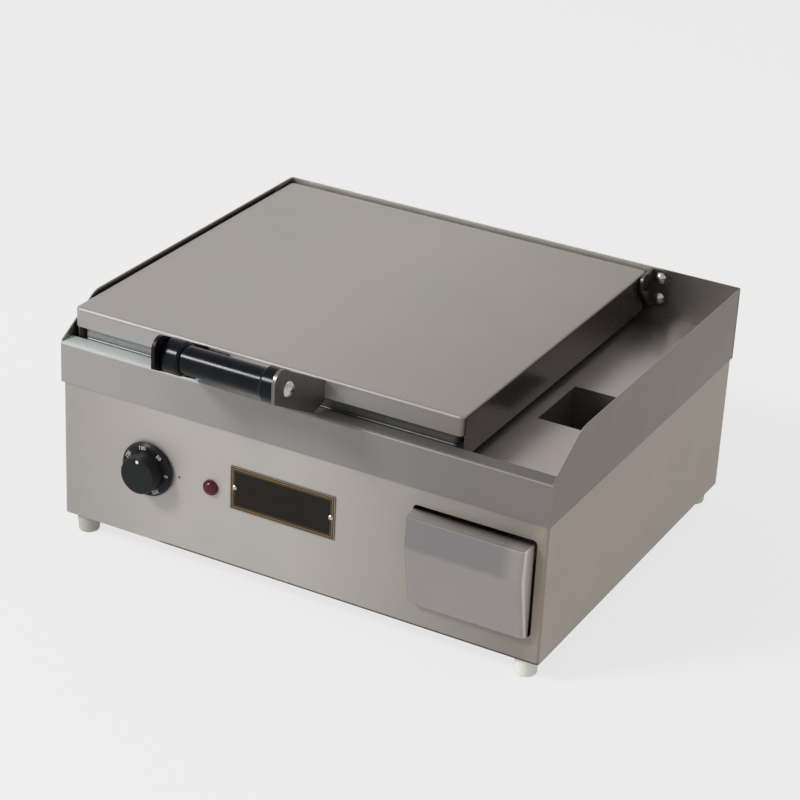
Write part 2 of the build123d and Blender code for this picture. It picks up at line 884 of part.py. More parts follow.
def heat_shield():
    """The shallow pan that carries the insulation board under the lower plate."""
    x_range = (plate_left + insulation_inset - shield_sheet, plate_right - insulation_inset + shield_sheet)
    y_range = (plate_front + insulation_inset - shield_sheet, plate_rear - insulation_inset + shield_sheet)
    pan = block(x_range, y_range, (shield_low, shield_low + shield_sheet + shield_lip))
    inside_x = (x_range[0] + shield_sheet, x_range[1] - shield_sheet)
    inside_y = (y_range[0] + shield_sheet, y_range[1] - shield_sheet)
    pan -= block(inside_x, inside_y, (lower_insulation_low, lower_insulation_low + shield_lip + cut_margin))
    z_range = (shield_low, lower_insulation_low)
    return with_stud_holes(with_element_holes(pan, z_range), z_range)


def lower_stud(x, y):
    """One stud in the lower plate, with its nut under the heat shield."""
    nut_z = (shield_low - stud_nut_height, shield_low)
    shank_z = (nut_z[0] - stud_end, lower_plate_inside_z)
    return rod_z(x, y, shank_z, stud_radius) + hexagon_z(x, y, nut_z, stud_nut_radius)


def drawer_rail(direction):
    """One C-shaped rail that carries the drawer, standing on the bottom cover."""
    inside = drawer_x + direction * (pan_width / 2 + rail_clearance)
    outside = inside + direction * rail_sheet
    ledge_end = inside - direction * rail_ledge
    y_range = (casing_front + foot_inset_y + foot_nut_radius + rail_nut_clearance, rail_end)
    web = block(sorted((inside, outside)), y_range, (casing_low, rail_top))
    ledge = block(sorted((ledge_end, inside)), y_range, (rail_low, drawer_low))
    base = block(sorted((ledge_end, inside)), y_range, (casing_low, casing_low + rail_sheet))
    return web + ledge + base


def drawer_pan():
    """The grease pan, whose front plate fills the opening in the panel."""
    y_range = (-pan_sheet, pan_length)
    pan = block(around(drawer_x, pan_width), y_range, (drawer_low, pan_top))
    pan = fillet(pan.edges().filter_by(Axis.Z).group_by(Axis.Y)[-1], pan_corner)
    inside = block(around(drawer_x, pan_width - 2 * pan_sheet), (0, pan_length - pan_sheet),
                   (drawer_low + pan_sheet, pan_top + cut_margin))
    inside = fillet(inside.edges().filter_by(Axis.Z).group_by(Axis.Y)[-1], pan_corner - pan_sheet)
    front = block(around(drawer_x, drawer_width), (-pan_sheet, 0), (drawer_low, drawer_top))
    return pan - inside + front


def drawer_front():
    """The hollow drawer front: lip on top, creased face, tapered sides."""
    back = -pan_sheet
    low_y = back - drawer_low_out
    crease_y = back - drawer_crease_out
    lip_y = back - drawer_lip
    outline = [(back, drawer_low), (low_y, drawer_low), (crease_y, drawer_crease_z), (lip_y, drawer_top),
               (back, drawer_top)]
    outer = drawer_shell(outline, drawer_width, drawer_corner)
    open_y = back + cut_margin
    inside_low = drawer_low + sheet
    inside_top = drawer_top - sheet
    inner_outline = [(open_y, inside_low), (low_y + sheet, inside_low), (crease_y + sheet, drawer_crease_z),
                     (lip_y + sheet, inside_top), (open_y, inside_top)]
    return outer - drawer_shell(inner_outline, drawer_width - 2 * sheet, drawer_corner - sheet)


def drawer_shell(outline, across, corner):
    """The drawer front's outline run along X, with its upright front edges rounded."""
    shell = along_x(make_face(Polyline(*outline, close=True)), around(drawer_x, across))
    ends = [edge for edge in shell.edges()
            if edge.center().Y < -pan_sheet - drawer_low_out / 2
            and abs(edge.center().X - drawer_x) > drawer_width / 4]
    upright = [edge for edge in ends if abs(edge.tangent_at(0).Z) > abs(edge.tangent_at(0).Y)]
    return fillet(upright, corner)


def thermostat():
    """The thermostat's case, mounting plate and nose, with the bore for its shaft."""
    back_y = panel_inside + thermostat_depth
    case = block(around(knob_x, thermostat_width), (panel_inside + thermostat_plate, back_y),
                 around(control_z, thermostat_height))
    case = fillet(case.edges().filter_by(Axis.Y), thermostat_corner)
    plate = block(around(knob_x, thermostat_width), (panel_inside, panel_inside + thermostat_plate),
                  around(control_z, 2 * thermostat_nose_radius))
    nose = rod_y(knob_x, (casing_front, panel_inside + thermostat_plate), control_z, thermostat_nose_radius)
    body = case + plate + nose
    body -= rod_y(knob_x, (casing_front - cut_margin, casing_front + shaft_depth), control_z,
                  shaft_radius + running_clearance)
    for x in (knob_x - thermostat_screw_x, knob_x + thermostat_screw_x):
        body -= rod_y(x, (panel_inside - cut_margin, panel_inside + thermostat_nose_length), control_z,
                      thermostat_screw_radius)
    return body


def thermostat_screw(x):
    """A flat screw through the panel into the thermostat's plate."""
    head_y = (casing_front - thermostat_screw_head_height, casing_front)
    shank_y = (casing_front, panel_inside + thermostat_nose_length)
    return (rod_y(x, head_y, control_z, thermostat_screw_head)
            + rod_y(x, shank_y, control_z, thermostat_screw_radius))


def thermostat_sensor():
    """The sensor under the lower plate and the thin capillary that runs to the thermostat."""
    x, down_y = sensor_place()
    z = lower_plate_inside_z - sensor_radius
    end_y = down_y - capillary_bend
    sensor = rod_y(x, (end_y - sensor_length, end_y), z, sensor_radius)
    low_z = shield_low - capillary_bend
    case_top = control_z + thermostat_height / 2
    case_y = panel_inside + thermostat_depth - capillary_bend / 2
    points = [(x, end_y, z), (x, down_y, z), (x, down_y, low_z), (knob_x, down_y, low_z),
              (knob_x, case_y, low_z), (knob_x, case_y, case_top)]
    return sensor + swept(points, capillary_radius, capillary_bend / 2)


def thermostat_shaft():
    """The thermostat's shaft, with a flat at its front end."""
    shaft_y = (knob_back - shaft_reach, casing_front + shaft_depth - shaft_end_gap)
    return rod_y(knob_x, shaft_y, control_z, shaft_radius) - shaft_flat_cut()


def shaft_flat_cut():
    """What the flat takes off the front end of the shaft."""
    return block(around(knob_x, 2 * shaft_radius), (knob_back - shaft_reach, knob_back - shaft_flat_gap),
                 (control_z + shaft_flat, control_z + shaft_radius + cut_margin))


def control_knob():
    """The dial and its round, slightly tapered grip, with a sunk dot as the pointer."""
    face_y = knob_back - dial_thickness
    front_y = face_y - knob_depth
    dial = rod_y(knob_x, (face_y, knob_back), control_z, dial_radius)
    front_edge = dial.edges().filter_by(GeomType.CIRCLE).sort_by(Axis.Y)[0]
    dial = chamfer(front_edge, dial_edge)
    taper = Rot(90, 0, 0) * Cone(knob_base_radius, knob_radius, knob_depth)
    grip = Pos(knob_x, (face_y + front_y) / 2, control_z) * taper
    grip = fillet(grip.edges().filter_by(GeomType.CIRCLE).sort_by(Axis.Y)[0], knob_edge)
    pointer_y = (front_y - cut_margin, front_y + pointer_depth)
    pointer = rod_y(knob_x, pointer_y, control_z + pointer_rise, pointer_radius)
    knob = dial + grip - pointer
    hole = rod_y(knob_x, (knob_back - shaft_reach, knob_back + cut_margin), control_z, shaft_radius)
    return knob - (hole - shaft_flat_cut())


def pilot_lamp_lens():
    """The red lens: a domed flange on the panel and a stem into the lamp's body."""
    flange = rod_y(lamp_x, (casing_front - lens_flange, casing_front), control_z, lens_radius)
    dome = dome_y(lamp_x, casing_front - lens_flange, control_z, lens_radius, lens_dome, -1)
    stem = rod_y(lamp_x, (casing_front, casing_front + lens_stem), control_z, lens_stem_radius)
    return flange + dome + stem


def pilot_lamp_body():
    """The lamp's body behind the panel, with its spring clip and two tabs."""
    end_y = casing_front + lamp_length
    body = rod_y(lamp_x, (casing_front, end_y), control_z, lamp_radius)
    clip = rod_y(lamp_x, (panel_inside, panel_inside + lamp_clip), control_z, lamp_clip_radius)
    body += clip
    body -= rod_y(lamp_x, (casing_front - cut_margin, casing_front + lens_stem), control_z, lens_stem_radius)
    for direction in (-1, 1):
        tab_x = around(lamp_x + direction * lamp_radius / 2, lamp_tab_thickness)
        body += block(tab_x, (end_y, end_y + lamp_tab_length), around(control_z, lamp_tab_width))
    return body


def nameplate():
    """The flat nameplate on the front panel."""
    plate = block(around(nameplate_x, nameplate_width), (casing_front - nameplate_thickness, casing_front),
                  around(nameplate_z, nameplate_height))
    for x in nameplate_rivet_places():
        plate -= rod_y(x, past(casing_front - nameplate_thickness, casing_front), nameplate_z,
                       nameplate_rivet_radius + nameplate_hole_clearance)
    return plate


def nameplate_rivet(x):
    """A small rivet at one end of the nameplate."""
    face_y = casing_front - nameplate_thickness
    return (dome_y(x, face_y, nameplate_z, nameplate_rivet_head, nameplate_rivet_head_height, -1)
            + rod_y(x, (face_y, face_y + nameplate_rivet_length), nameplate_z, nameplate_rivet_radius))


def cable_gland():
    """The cable gland in the rear panel: flange, domed cap and threaded neck, with an open bore."""
    neck = rod_y(gland_x, (rear_panel_inside - gland_inside, guard_inside), gland_z, gland_thread_radius)
    flange = hexagon_y(gland_x, (guard_inside, guard_inside + gland_flange), gland_z, gland_flange_radius)
    cap = rod_y(gland_x, (guard_inside + gland_flange, gland_reach), gland_z, gland_cap_radius)
    cap = fillet(cap.edges().filter_by(GeomType.CIRCLE).sort_by(Axis.Y)[-1], gland_cap_round)
    body = neck + flange + cap
    return body - rod_y(gland_x, past(rear_panel_inside - gland_inside, gland_reach), gland_z, gland_bore)


def gland_nut():
    """The nut on the gland's neck, inside the casing."""
    nut_y = (rear_panel_inside - gland_nut_thickness, rear_panel_inside)
    nut = hexagon_y(gland_x, nut_y, gland_z, gland_nut_radius)
    return nut - rod_y(gland_x, past(*nut_y), gland_z, gland_thread_radius)


def terminal_block():
    """The ceramic terminal block on the bottom cover."""
    z_range = (casing_low, casing_low + terminal_height)
    body = block(around(terminal_x, terminal_width), around(terminal_y, terminal_depth), z_range)
    hole_z = (z_range[1] - terminal_screw_hole_depth, z_range[1] + cut_margin)
    for x in terminal_way_places():
        for y in (terminal_y - terminal_depth / 4, terminal_y + terminal_depth / 4):
            body -= rod_z(x, y, hole_z, terminal_screw_hole_radius)
    return body


def earth_stud():
    """The earth stud through the bottom cover, with a nut on both sides."""
    low = foot_height - earth_nut_height
    shank = rod_z(earth_x, earth_y, (low, foot_height + earth_height), earth_radius)
    low_nut = hexagon_z(earth_x, earth_y, (low, foot_height), earth_nut_radius)
    high_nut = hexagon_z(earth_x, earth_y, (casing_low, casing_low + earth_nut_height), earth_nut_radius)
    return shank + low_nut + high_nut


def terminal_way_places():
    """The X places of the ways of the terminal block."""
    pitch = terminal_width / terminal_ways
    return [terminal_x + (index - (terminal_ways - 1) / 2) * pitch for index in range(terminal_ways)]


def mains_route(index):
    """A wire from the cable gland to the back of the terminal block."""
    start_x = gland_x + (index - 0.5) * wire_lane
    end_x = terminal_way_places()[index]
    back_y = terminal_y + terminal_depth / 2
    lane_y = back_y + wire_run + index * wire_lane
    wire_z = casing_low + terminal_height / 2
    return [(start_x, rear_panel_inside - gland_inside, gland_z), (start_x, lane_y, gland_z),
            (end_x, lane_y, wire_z), (end_x, back_y, wire_z)]


def element_route(index):
    """A wire from the front of the terminal block to one end of the lower element."""
    start_x = terminal_way_places()[terminal_ways // 2 + index]
    end_x, end_y = element_end_places()[index]
    front_y = terminal_y - terminal_depth / 2
    lane_y = front_y - wire_run - index * wire_lane
    wire_z = casing_low + terminal_height / 2
    end_z = lower_element_z - lower_element_tail
    return [(start_x, front_y, wire_z), (start_x, lane_y, wire_z), (end_x, lane_y, element_wire_z),
            (end_x, end_y, end_z - wire_run), (end_x, end_y, end_z)]


def lamp_route():
    """A wire from the thermostat to the pilot lamp."""
    start_y = panel_inside + thermostat_depth
    tab_x = lamp_x - lamp_radius / 2
    tab_y = casing_front + lamp_length + lamp_tab_length
    start_x = knob_x + thermostat_wire_x
    return [(start_x, start_y, control_z), (start_x, start_y + wire_run, control_z),
            (tab_x, tab_y + wire_run, control_z), (tab_x, tab_y, control_z)]


def feed_route():
    """A wire from the thermostat to the terminal block."""
    start_x = knob_x - thermostat_wire_x
    start_y = panel_inside + thermostat_depth
    end_x = terminal_way_places()[0] - wire_lane
    end_y = terminal_y - terminal_depth / 2
    wire_z = casing_low + terminal_height / 2
    return [(start_x, start_y, control_z), (start_x, start_y + wire_run, control_z),
            (end_x, end_y - wire_run, wire_z), (end_x, end_y, wire_z)]


def internal_wires():
    """The wires inside the casing."""
    routes = [mains_route(0), mains_route(1), element_route(0), element_route(1), lamp_route(), feed_route()]
    return [swept(points, wire_radius, wire_bend) for points in routes]


def lid_wires():
    """The wires from the lid's terminal block to the two ends of the upper element."""
    first, last = element_end_places()
    start_y = element_rear + element_radius
    block_right = lid_lead_x + lid_terminal_width / 2
    block_rear = lid_terminal_y + lid_terminal_depth / 2
    end_x = lid_lead_x + lid_wire_x
    short = [(first[0], start_y, lid_wire_z), (first[0], lid_terminal_y, lid_wire_z),
             (block_right, lid_terminal_y, lid_wire_z)]
    long = [(last[0], start_y, lid_wire_z), (last[0], lid_wire_rear, lid_wire_z),
            (end_x, lid_wire_rear, lid_wire_z), (end_x, block_rear, lid_wire_z)]
    return [swept(points, wire_radius, wire_bend) for points in (short, long)]


def floor_grommet():
    """The grommet in the tray floor that the lid's lead passes through."""
    low = casing_top - grommet_lip
    high = floor_z + grommet_lip
    ring = (rod_z(lid_lead_x, pin_y, (low, casing_top), grommet_radius)
            + rod_z(lid_lead_x, pin_y, (casing_top, floor_z), grommet_neck_radius)
            + rod_z(lid_lead_x, pin_y, (floor_z, high), grommet_radius))
    return ring - rod_z(lid_lead_x, pin_y, past(low, high), lid_lead_radius)


def lid_lead():
    """The sleeved lead to the lid, from the casing up to the hinge line."""
    start_x = terminal_way_places()[-1]
    start_y = terminal_y + terminal_depth / 2
    wire_z = casing_low + terminal_height / 2
    top = pin_z - lid_lead_radius - lid_lead_gap
    points = [(start_x, start_y, wire_z), (start_x, pin_y, wire_z), (start_x, pin_y, lid_lead_low),
              (lid_lead_x, pin_y, lid_lead_low), (lid_lead_x, pin_y, top)]
    return swept(points, lid_lead_radius, lid_lead_bend)


def lid_lead_tail():
    """The upper end of that lead, from the hinge line forward into the lid."""
    end_y = lid_terminal_y + lid_terminal_depth / 2
    return rod_y(lid_lead_x, (end_y, pin_y), pin_z, lid_lead_radius)


def lid_terminal_block():
    """The small terminal block on the clamp of the upper element."""
    z_range = (upper_clamp_top, upper_clamp_top + lid_terminal_height)
    return block(around(lid_lead_x, lid_terminal_width), around(lid_terminal_y, lid_terminal_depth), z_range)


def hinge_screw_places():
    """The X and Z places of the two screws of the right bracket."""
    x = bracket_x + hinge_screw_x
    return [(x, hinge_screw_low_z), (x, hinge_screw_high_z)]


def pin_slot(x_range):
    """The slot in which a hinge pin floats."""
    return slot_x(x_range, pin_y, (pin_z, pin_z + pin_float), pin_radius + slot_clearance)


def hinge_bracket_right():
    """The L-shaped bracket: a leaf on the back wall and a slotted leaf beside the lid."""
    nose_z = bracket_top - bracket_nose
    front_y = guard_inside - bracket_reach
    rear_drop = nose_z - bracket_bottom
    outline = [(guard_inside, bracket_top), (front_y, bracket_top), (front_y, nose_z),
               (front_y + rear_drop, bracket_bottom), (guard_inside, bracket_bottom)]
    leaf = along_x(make_face(Polyline(*outline, close=True)), (bracket_x, bracket_outer_x))
    leaf = fillet(x_edges_at(leaf, front_y, nose_z), bracket_corner)
    leaf = fillet(x_edges_at(leaf, front_y, bracket_top), bracket_corner)
    back = block((bracket_x, bracket_x + bracket_leaf), (guard_inside - bracket_thickness, guard_inside),
                 (bracket_bottom, bracket_top))
    far_edges = back.edges().filter_by(Axis.Y).group_by(Axis.X)[-1]
    back = fillet(far_edges, bracket_corner)
    bracket = leaf + back - pin_slot(past(bracket_x, bracket_outer_x))
    through = past(guard_inside - bracket_thickness, guard_inside)
    for x, z in hinge_screw_places():
        bracket -= rod_y(x, through, z, hinge_screw_radius + screw_hole_clearance)
    return bracket


def hinge_screw(x, z):
    """A domed screw through the bracket and the guard's back wall."""
    face_y = guard_inside - bracket_thickness
    return (dome_y(x, face_y, z, hinge_screw_head, hinge_screw_head_height, -1)
            + rod_y(x, (face_y, rear_nut_reach), z, hinge_screw_radius))


def hinge_nut(x, z):
    """The nut of a hinge screw, on the outside of the back wall."""
    nut_y = (depth, depth + hinge_nut_height)
    nut = hexagon_y(x, nut_y, z, hinge_nut_radius)
    return nut - rod_y(x, past(*nut_y), z, hinge_screw_radius)


def hinge_plate_left():
    """The slotted plate welded to the inside of the left guard wall."""
    x_range = (left_plate_x, left_plate_x + left_plate_thickness)
    plate = block(x_range, (left_plate_front, guard_inside - bend), (bracket_bottom, bracket_top))
    plate = fillet(plate.edges().filter_by(Axis.X).group_by(Axis.Y)[0], bracket_corner)
    return plate - pin_slot(past(*x_range))


def hinge_pin_right():
    """The right pin: shank through lid and slot, collar between them, and a head at each end."""
    collar = (lid_right + pin_collar_clearance, bracket_x - pin_collar_clearance)
    outer = (bracket_outer_x + pin_collar_clearance, bracket_outer_x + pin_collar_clearance + pin_head)
    inner_end = lid_right - lid_sheet - doubler_thickness - pin_collar_clearance
    pin = rod_x((inner_end - pin_head, outer[1]), pin_y, pin_z, pin_radius)
    pin += rod_x(collar, pin_y, pin_z, pin_head_radius)
    pin += rod_x(outer, pin_y, pin_z, pin_head_radius)
    return pin + rod_x((inner_end - pin_head, inner_end), pin_y, pin_z, pin_head_radius)


def hinge_pin_left():
    """The left pin: its end runs in the slot of the left plate."""
    plate_face = left_plate_x + left_plate_thickness
    collar = (plate_face + pin_collar_clearance, lid_left - pin_collar_clearance)
    inner_start = lid_left + lid_sheet + doubler_thickness + pin_collar_clearance
    pin = rod_x((left_plate_x + pin_collar_clearance, inner_start + pin_head), pin_y, pin_z, pin_radius)
    pin += rod_x(collar, pin_y, pin_z, pin_head_radius)
    return pin + rod_x((inner_start, inner_start + pin_head), pin_y, pin_z, pin_head_radius)


def hinge_doubler(direction):
    """The thick square inside a side skirt of the lid that carries a hinge pin."""
    face = lid_x + direction * (lid_width / 2 - lid_sheet)
    x_range = sorted((face, face - direction * doubler_thickness))
    body = block(x_range, (pin_y - doubler_reach, pin_y + doubler_rear),
                 (pin_z - doubler_reach, pin_z + doubler_rise))
    return body - rod_x(past(*x_range), pin_y, pin_z, pin_radius + running_clearance)


def lid_cover():
    """The lid's cover: top, low front skirt, deep side skirts and a narrow rear skirt."""
    low = lid_z - lid_side_skirt
    outer = block((lid_left, lid_right), (lid_front, lid_rear), (low, lid_z))
    outer = fillet(outer.edges().filter_by(Axis.Z), lid_corner)
    outer = fillet(outer.faces().sort_by(Axis.Z)[-1].outer_wire().edges(), lid_edge)
    inner_x = (lid_left + lid_sheet, lid_right - lid_sheet)
    inner_y = (lid_front + lid_sheet, lid_rear - lid_sheet)
    inner = block(inner_x, inner_y, (low - cut_margin, lid_inside_z))
    inner = fillet(inner.edges().filter_by(Axis.Z), lid_corner - lid_sheet)
    inner = fillet(inner.faces().sort_by(Axis.Z)[-1].outer_wire().edges(), lid_edge - lid_sheet)
    cover = outer - inner
    across = past(lid_left, lid_right)
    front_cut_y = (lid_front - cut_margin, lid_front + lid_corner)
    cover -= block(across, front_cut_y, (low - cut_margin, lid_z - lid_front_skirt))
    rear_cut_y = (lid_rear - lid_corner, lid_rear + cut_margin)
    cover -= block(across, rear_cut_y, (low - cut_margin, lid_z - lid_rear_skirt))
    pin_hole = pin_radius + running_clearance
    cover -= rod_x(across, pin_y, pin_z, pin_hole)
    for x in rivet_places():
        cover -= rod_y(x, past(lid_front, lid_front + lid_sheet), rivet_z(), rivet_radius)
    return cover - block(around(lid_lead_x, lid_notch_width), rear_cut_y, (low, lid_inside_z))


def rivet_z():
    """The height of the handle rivets."""
    return (arm_flange_low + arm_flange_high) / 2


def rivet_places():
    """The X places of the four handle rivets, two in each arm's flange."""
    offsets = [arm_thickness + rivet_first, arm_thickness + rivet_first + rivet_spacing]
    left = [arm_left_x + offset for offset in offsets]
    right = [arm_right_x - offset for offset in offsets]
    return left + right


def handle_rivet(x):
    """A rivet through an arm's flange and the lid's front skirt."""
    inside = lid_front + lid_sheet
    return (dome_y(x, arm_flange_front, rivet_z(), rivet_head, rivet_head_height, -1)
            + rod_y(x, (arm_flange_front, inside), rivet_z(), rivet_radius)
            + rod_y(x, (inside, inside + rivet_inner_head_height), rivet_z(), rivet_head))


def handle_arm(direction):
    """One flat arm that rises forward from the lid, with a flange turned inward on the lid's face."""
    slope = math.tan(math.radians(arm_angle))
    drop = arm_height / math.cos(math.radians(arm_angle))
    top_front_z = arm_top_z + (lid_front - arm_front) * slope
    low_front_z = top_front_z - drop
    low_rear_y = arm_front + (low_front_z - arm_low_z) / slope
    outline = [(lid_front, arm_foot_z), (lid_front, arm_top_z), (arm_front, top_front_z),
               (arm_front, low_front_z), (low_rear_y, arm_low_z)]
    outer_x = handle_x + direction * arm_spacing / 2
    x_range = sorted((outer_x, outer_x - direction * arm_thickness))
    arm = along_x(make_face(Polyline(*outline, close=True)), x_range)
    arm = fillet(x_edges_at(arm, arm_front, top_front_z), arm_corner)
    flange_x = sorted((outer_x, outer_x - direction * arm_flange_width))
    arm += block(flange_x, (arm_flange_front, lid_front), (arm_flange_low, arm_flange_high))
    arm -= rod_x(past(*x_range), grip_y, grip_z, grip_screw_radius)
    for x in rivet_places():
        if min(flange_x) < x < max(flange_x):
            arm -= rod_y(x, past(arm_flange_front, lid_front), rivet_z(), rivet_radius)
    return arm


def handle_grip():
    """The round grip with a collar at each end and a bore for its rod."""
    half = grip_length / 2
    ends = (handle_x - half, handle_x + half)
    barrel = rod_x(ends, grip_y, grip_z, grip_radius)
    for direction in (-1, 1):
        end = handle_x + direction * half
        collar_x = sorted((end, end - direction * grip_collar_length))
        collar = rod_x(collar_x, grip_y, grip_z, grip_collar_radius)
        barrel += fillet(collar.edges().filter_by(GeomType.CIRCLE), grip_collar_round)
    return barrel - rod_x(past(*ends), grip_y, grip_z, rod_radius + grip_bore_clearance)


def handle_rod():
    """The rod between the arms that carries the grip, drilled at both ends."""
    half = grip_length / 2
    rod = rod_x((handle_x - half, handle_x + half), grip_y, grip_z, rod_radius)
    for direction in (-1, 1):
        end = handle_x + direction * half
        depth_x = sorted((end + direction * cut_margin, end - direction * grip_screw_length))
        rod -= rod_x(depth_x, grip_y, grip_z, grip_screw_radius)
    return rod


def handle_screw(direction):
    """The pan-head screw through an arm into the rod, with a crossed recess."""
    face = handle_x + direction * arm_spacing / 2
    inner_end = face - direction * (arm_thickness + grip_screw_length)
    head = dome_x(face, grip_y, grip_z, grip_screw_head, grip_screw_head_height, direction)
    recess = grip_screw_head_height / 2
    recess_x = sorted((face + direction * recess, face + direction * (grip_screw_head_height + cut_margin)))
    long_side = grip_screw_head
    short_side = recess / 2
    head -= block(recess_x, around(grip_y, long_side), around(grip_z, short_side))
    head -= block(recess_x, around(grip_y, short_side), around(grip_z, long_side))
    return head + rod_x(sorted((inner_end, face)), grip_y, grip_z, grip_screw_radius)


def lid_bracket_places():
    """The direction from the lid's middle and the Y place of each bracket in the lid."""
    return [(direction, y) for direction in (-1, 1) for y in (lid_bracket_front, lid_bracket_rear)]


def lid_bracket_screw_places():
    """The X and Y places of the screws that hold the upper plate."""
    reach = lid_width / 2 - lid_sheet - lid_screw_reach
    return [(lid_x + direction * reach, y) for direction, y in lid_bracket_places()]


def lid_bracket(direction, y):
    """An angle bracket welded to a side skirt, lying on the upper plate."""
    face = lid_x + direction * (lid_width / 2 - lid_sheet)
    y_range = around(y, lid_bracket_length)
    low = upper_plate_top
    upright_x = sorted((face, face - direction * lid_bracket_sheet))
    upright = block(upright_x, y_range, (low, low + lid_bracket_height))
    foot_x = sorted((face, face - direction * lid_bracket_reach))
    foot_plate = block(foot_x, y_range, (low, low + lid_bracket_sheet))
    x = face - direction * lid_screw_reach
    return upright + foot_plate - rod_z(x, y, past(low, low + lid_bracket_sheet), lid_screw_radius)


def lid_bracket_screw(x, y):
    """A screw through a bracket into the upper plate."""
    face = upper_plate_top + lid_bracket_sheet
    return (rod_z(x, y, (face, face + lid_screw_head_height), lid_screw_head)
            + rod_z(x, y, (upper_plate_top - lid_screw_depth, face), lid_screw_radius))


def build_base():
    """Everything that stays on the table."""
    save("base_casing", casing())
    save("rear_panel", rear_panel())
    save("bottom_cover", bottom_cover())
    save("casing_screws", *[cover_screw(x, y) for x, y in cover_screw_places()],
         *[panel_screw(x, z) for x, z in panel_screw_places()])
    save("feet", *[foot(x, y) for x, y in foot_places()])
    save("foot_screws", *[foot_screw(x, y) for x, y in foot_places()])
    save("splash_guard", splash_guard())
    save("front_band", front_band())
    save("tray_floor", tray_floor())
    save("drain_chute", drain_chute())
    save("nameplate", nameplate())
    save("nameplate_rivets", *[nameplate_rivet(x) for x in nameplate_rivet_places()])


def build_lower_plate():
    """The lower cooking plate and the layers under it."""
    clamp_z = (lower_clamp_low, lower_clamp_top)
    insulation_z = (lower_insulation_low, lower_clamp_low)
    save("lower_plate", lower_plate())
    save("lower_element", element_tube(lower_element_z, -lower_element_tail))
    save("lower_element_clamp", with_stud_holes(element_clamp(clamp_z), clamp_z))
    board = with_element_holes(insulation_board(insulation_z, plate_rear - insulation_inset), insulation_z)
    save("lower_insulation", with_stud_holes(board, insulation_z))
    save("heat_shield", heat_shield())
    save("lower_plate_studs", *[lower_stud(x, y) for x, y in stud_places()])


def build_controls():
    """Thermostat, pilot lamp, mains inlet and wiring."""
    save("thermostat", thermostat())
    save("thermostat_screws", *[thermostat_screw(knob_x + side * thermostat_screw_x) for side in (-1, 1)])
    save("thermostat_sensor", thermostat_sensor())
    save("pilot_lamp_body", pilot_lamp_body())
    save("pilot_lamp_lens", pilot_lamp_lens())
    save("terminal_block", terminal_block())
    save("cable_gland", cable_gland())
    save("gland_nut", gland_nut())
    save("earth_stud", earth_stud())
    save("internal_wiring", *internal_wires())
    save("floor_grommet", floor_grommet())
    save("lid_lead", lid_lead())


def build_drawer():
    """The grease drawer and its rails."""
    save("drawer_rail_left", drawer_rail(-1))
    save("drawer_rail_right", drawer_rail(1))
    save("drawer_pan", drawer_pan())
    save("drawer_front", drawer_front())


def build_knob():
    """What turns with the knob."""
    save("thermostat_shaft", thermostat_shaft())
    save("control_knob", control_knob())


def build_hinge():
    """The hinge's fixed plates and floating pins."""
    save("hinge_bracket_right", hinge_bracket_right())
    save("hinge_plate_left", hinge_plate_left())
    save("hinge_screws", *[hinge_screw(x, z) for x, z in hinge_screw_places()])
    save("hinge_nuts", *[hinge_nut(x, z) for x, z in hinge_screw_places()])
    save("hinge_pin_right", hinge_pin_right())
    save("hinge_pin_left", hinge_pin_left())


def build_lid():
    """Everything that swings with the lid."""
    save("lid_cover", lid_cover())
    save("upper_plate", upper_plate())
    save("upper_element", element_tube(upper_element_z, upper_element_tail))
    save("upper_element_clamp", element_clamp((upper_clamp_low, upper_clamp_top)))
    insulation_z = (upper_clamp_top, upper_clamp_top + upper_insulation_thickness)
    save("upper_insulation", insulation_board(insulation_z, upper_insulation_rear))
    save("lid_wiring", *lid_wires())
    save("hinge_doublers", hinge_doubler(-1), hinge_doubler(1))
    save("lid_brackets", *[lid_bracket(direction, y) for direction, y in lid_bracket_places()])
    save("lid_bracket_screws", *[lid_bracket_screw(x, y) for x, y in lid_bracket_screw_places()])
    save("lid_terminal_block", lid_terminal_block())
    save("lid_lead_tail", lid_lead_tail())
    save("handle_arm_left", handle_arm(-1))
    save("handle_arm_right", handle_arm(1))
    save("handle_rivets", *[handle_rivet(x) for x in rivet_places()])
    save("handle_grip", handle_grip())
    save("handle_rod", handle_rod())
    save("handle_screws", handle_screw(-1), handle_screw(1))


os.makedirs("parts", exist_ok=True)
build_base()
build_lower_plate()
build_controls()
build_drawer()
build_knob()
build_hinge()
build_lid()
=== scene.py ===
import math

import bpy
from mathutils import Matrix, Vector

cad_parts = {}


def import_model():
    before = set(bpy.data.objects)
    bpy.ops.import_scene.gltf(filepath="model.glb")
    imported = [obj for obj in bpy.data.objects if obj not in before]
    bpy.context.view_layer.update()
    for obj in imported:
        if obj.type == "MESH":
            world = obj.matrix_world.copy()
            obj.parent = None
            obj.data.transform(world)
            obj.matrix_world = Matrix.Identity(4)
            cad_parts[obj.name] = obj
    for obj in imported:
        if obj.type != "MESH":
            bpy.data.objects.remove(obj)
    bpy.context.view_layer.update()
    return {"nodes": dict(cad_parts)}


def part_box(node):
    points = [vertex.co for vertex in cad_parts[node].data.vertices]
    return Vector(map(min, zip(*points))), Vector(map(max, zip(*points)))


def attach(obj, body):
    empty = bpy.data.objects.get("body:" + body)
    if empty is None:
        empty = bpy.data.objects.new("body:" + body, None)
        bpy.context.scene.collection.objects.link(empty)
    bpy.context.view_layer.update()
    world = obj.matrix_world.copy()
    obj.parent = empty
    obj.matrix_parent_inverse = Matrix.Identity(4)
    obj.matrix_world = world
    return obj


# Camera, as worked out from the photograph
CAMERA_AZIMUTH = math.radians(27.61)
CAMERA_ELEVATION = math.radians(26.22)
CAMERA_ROLL = math.radians(2.96)
CAMERA_DISTANCE = 2.1851
CAMERA_TARGET = Vector((-0.0048, 0.0253, 0.1114))
CAMERA_LENS = 112.4
CAMERA_SENSOR = 36.0
CAMERA_NEAR = 0.05
CAMERA_FAR = 50.0

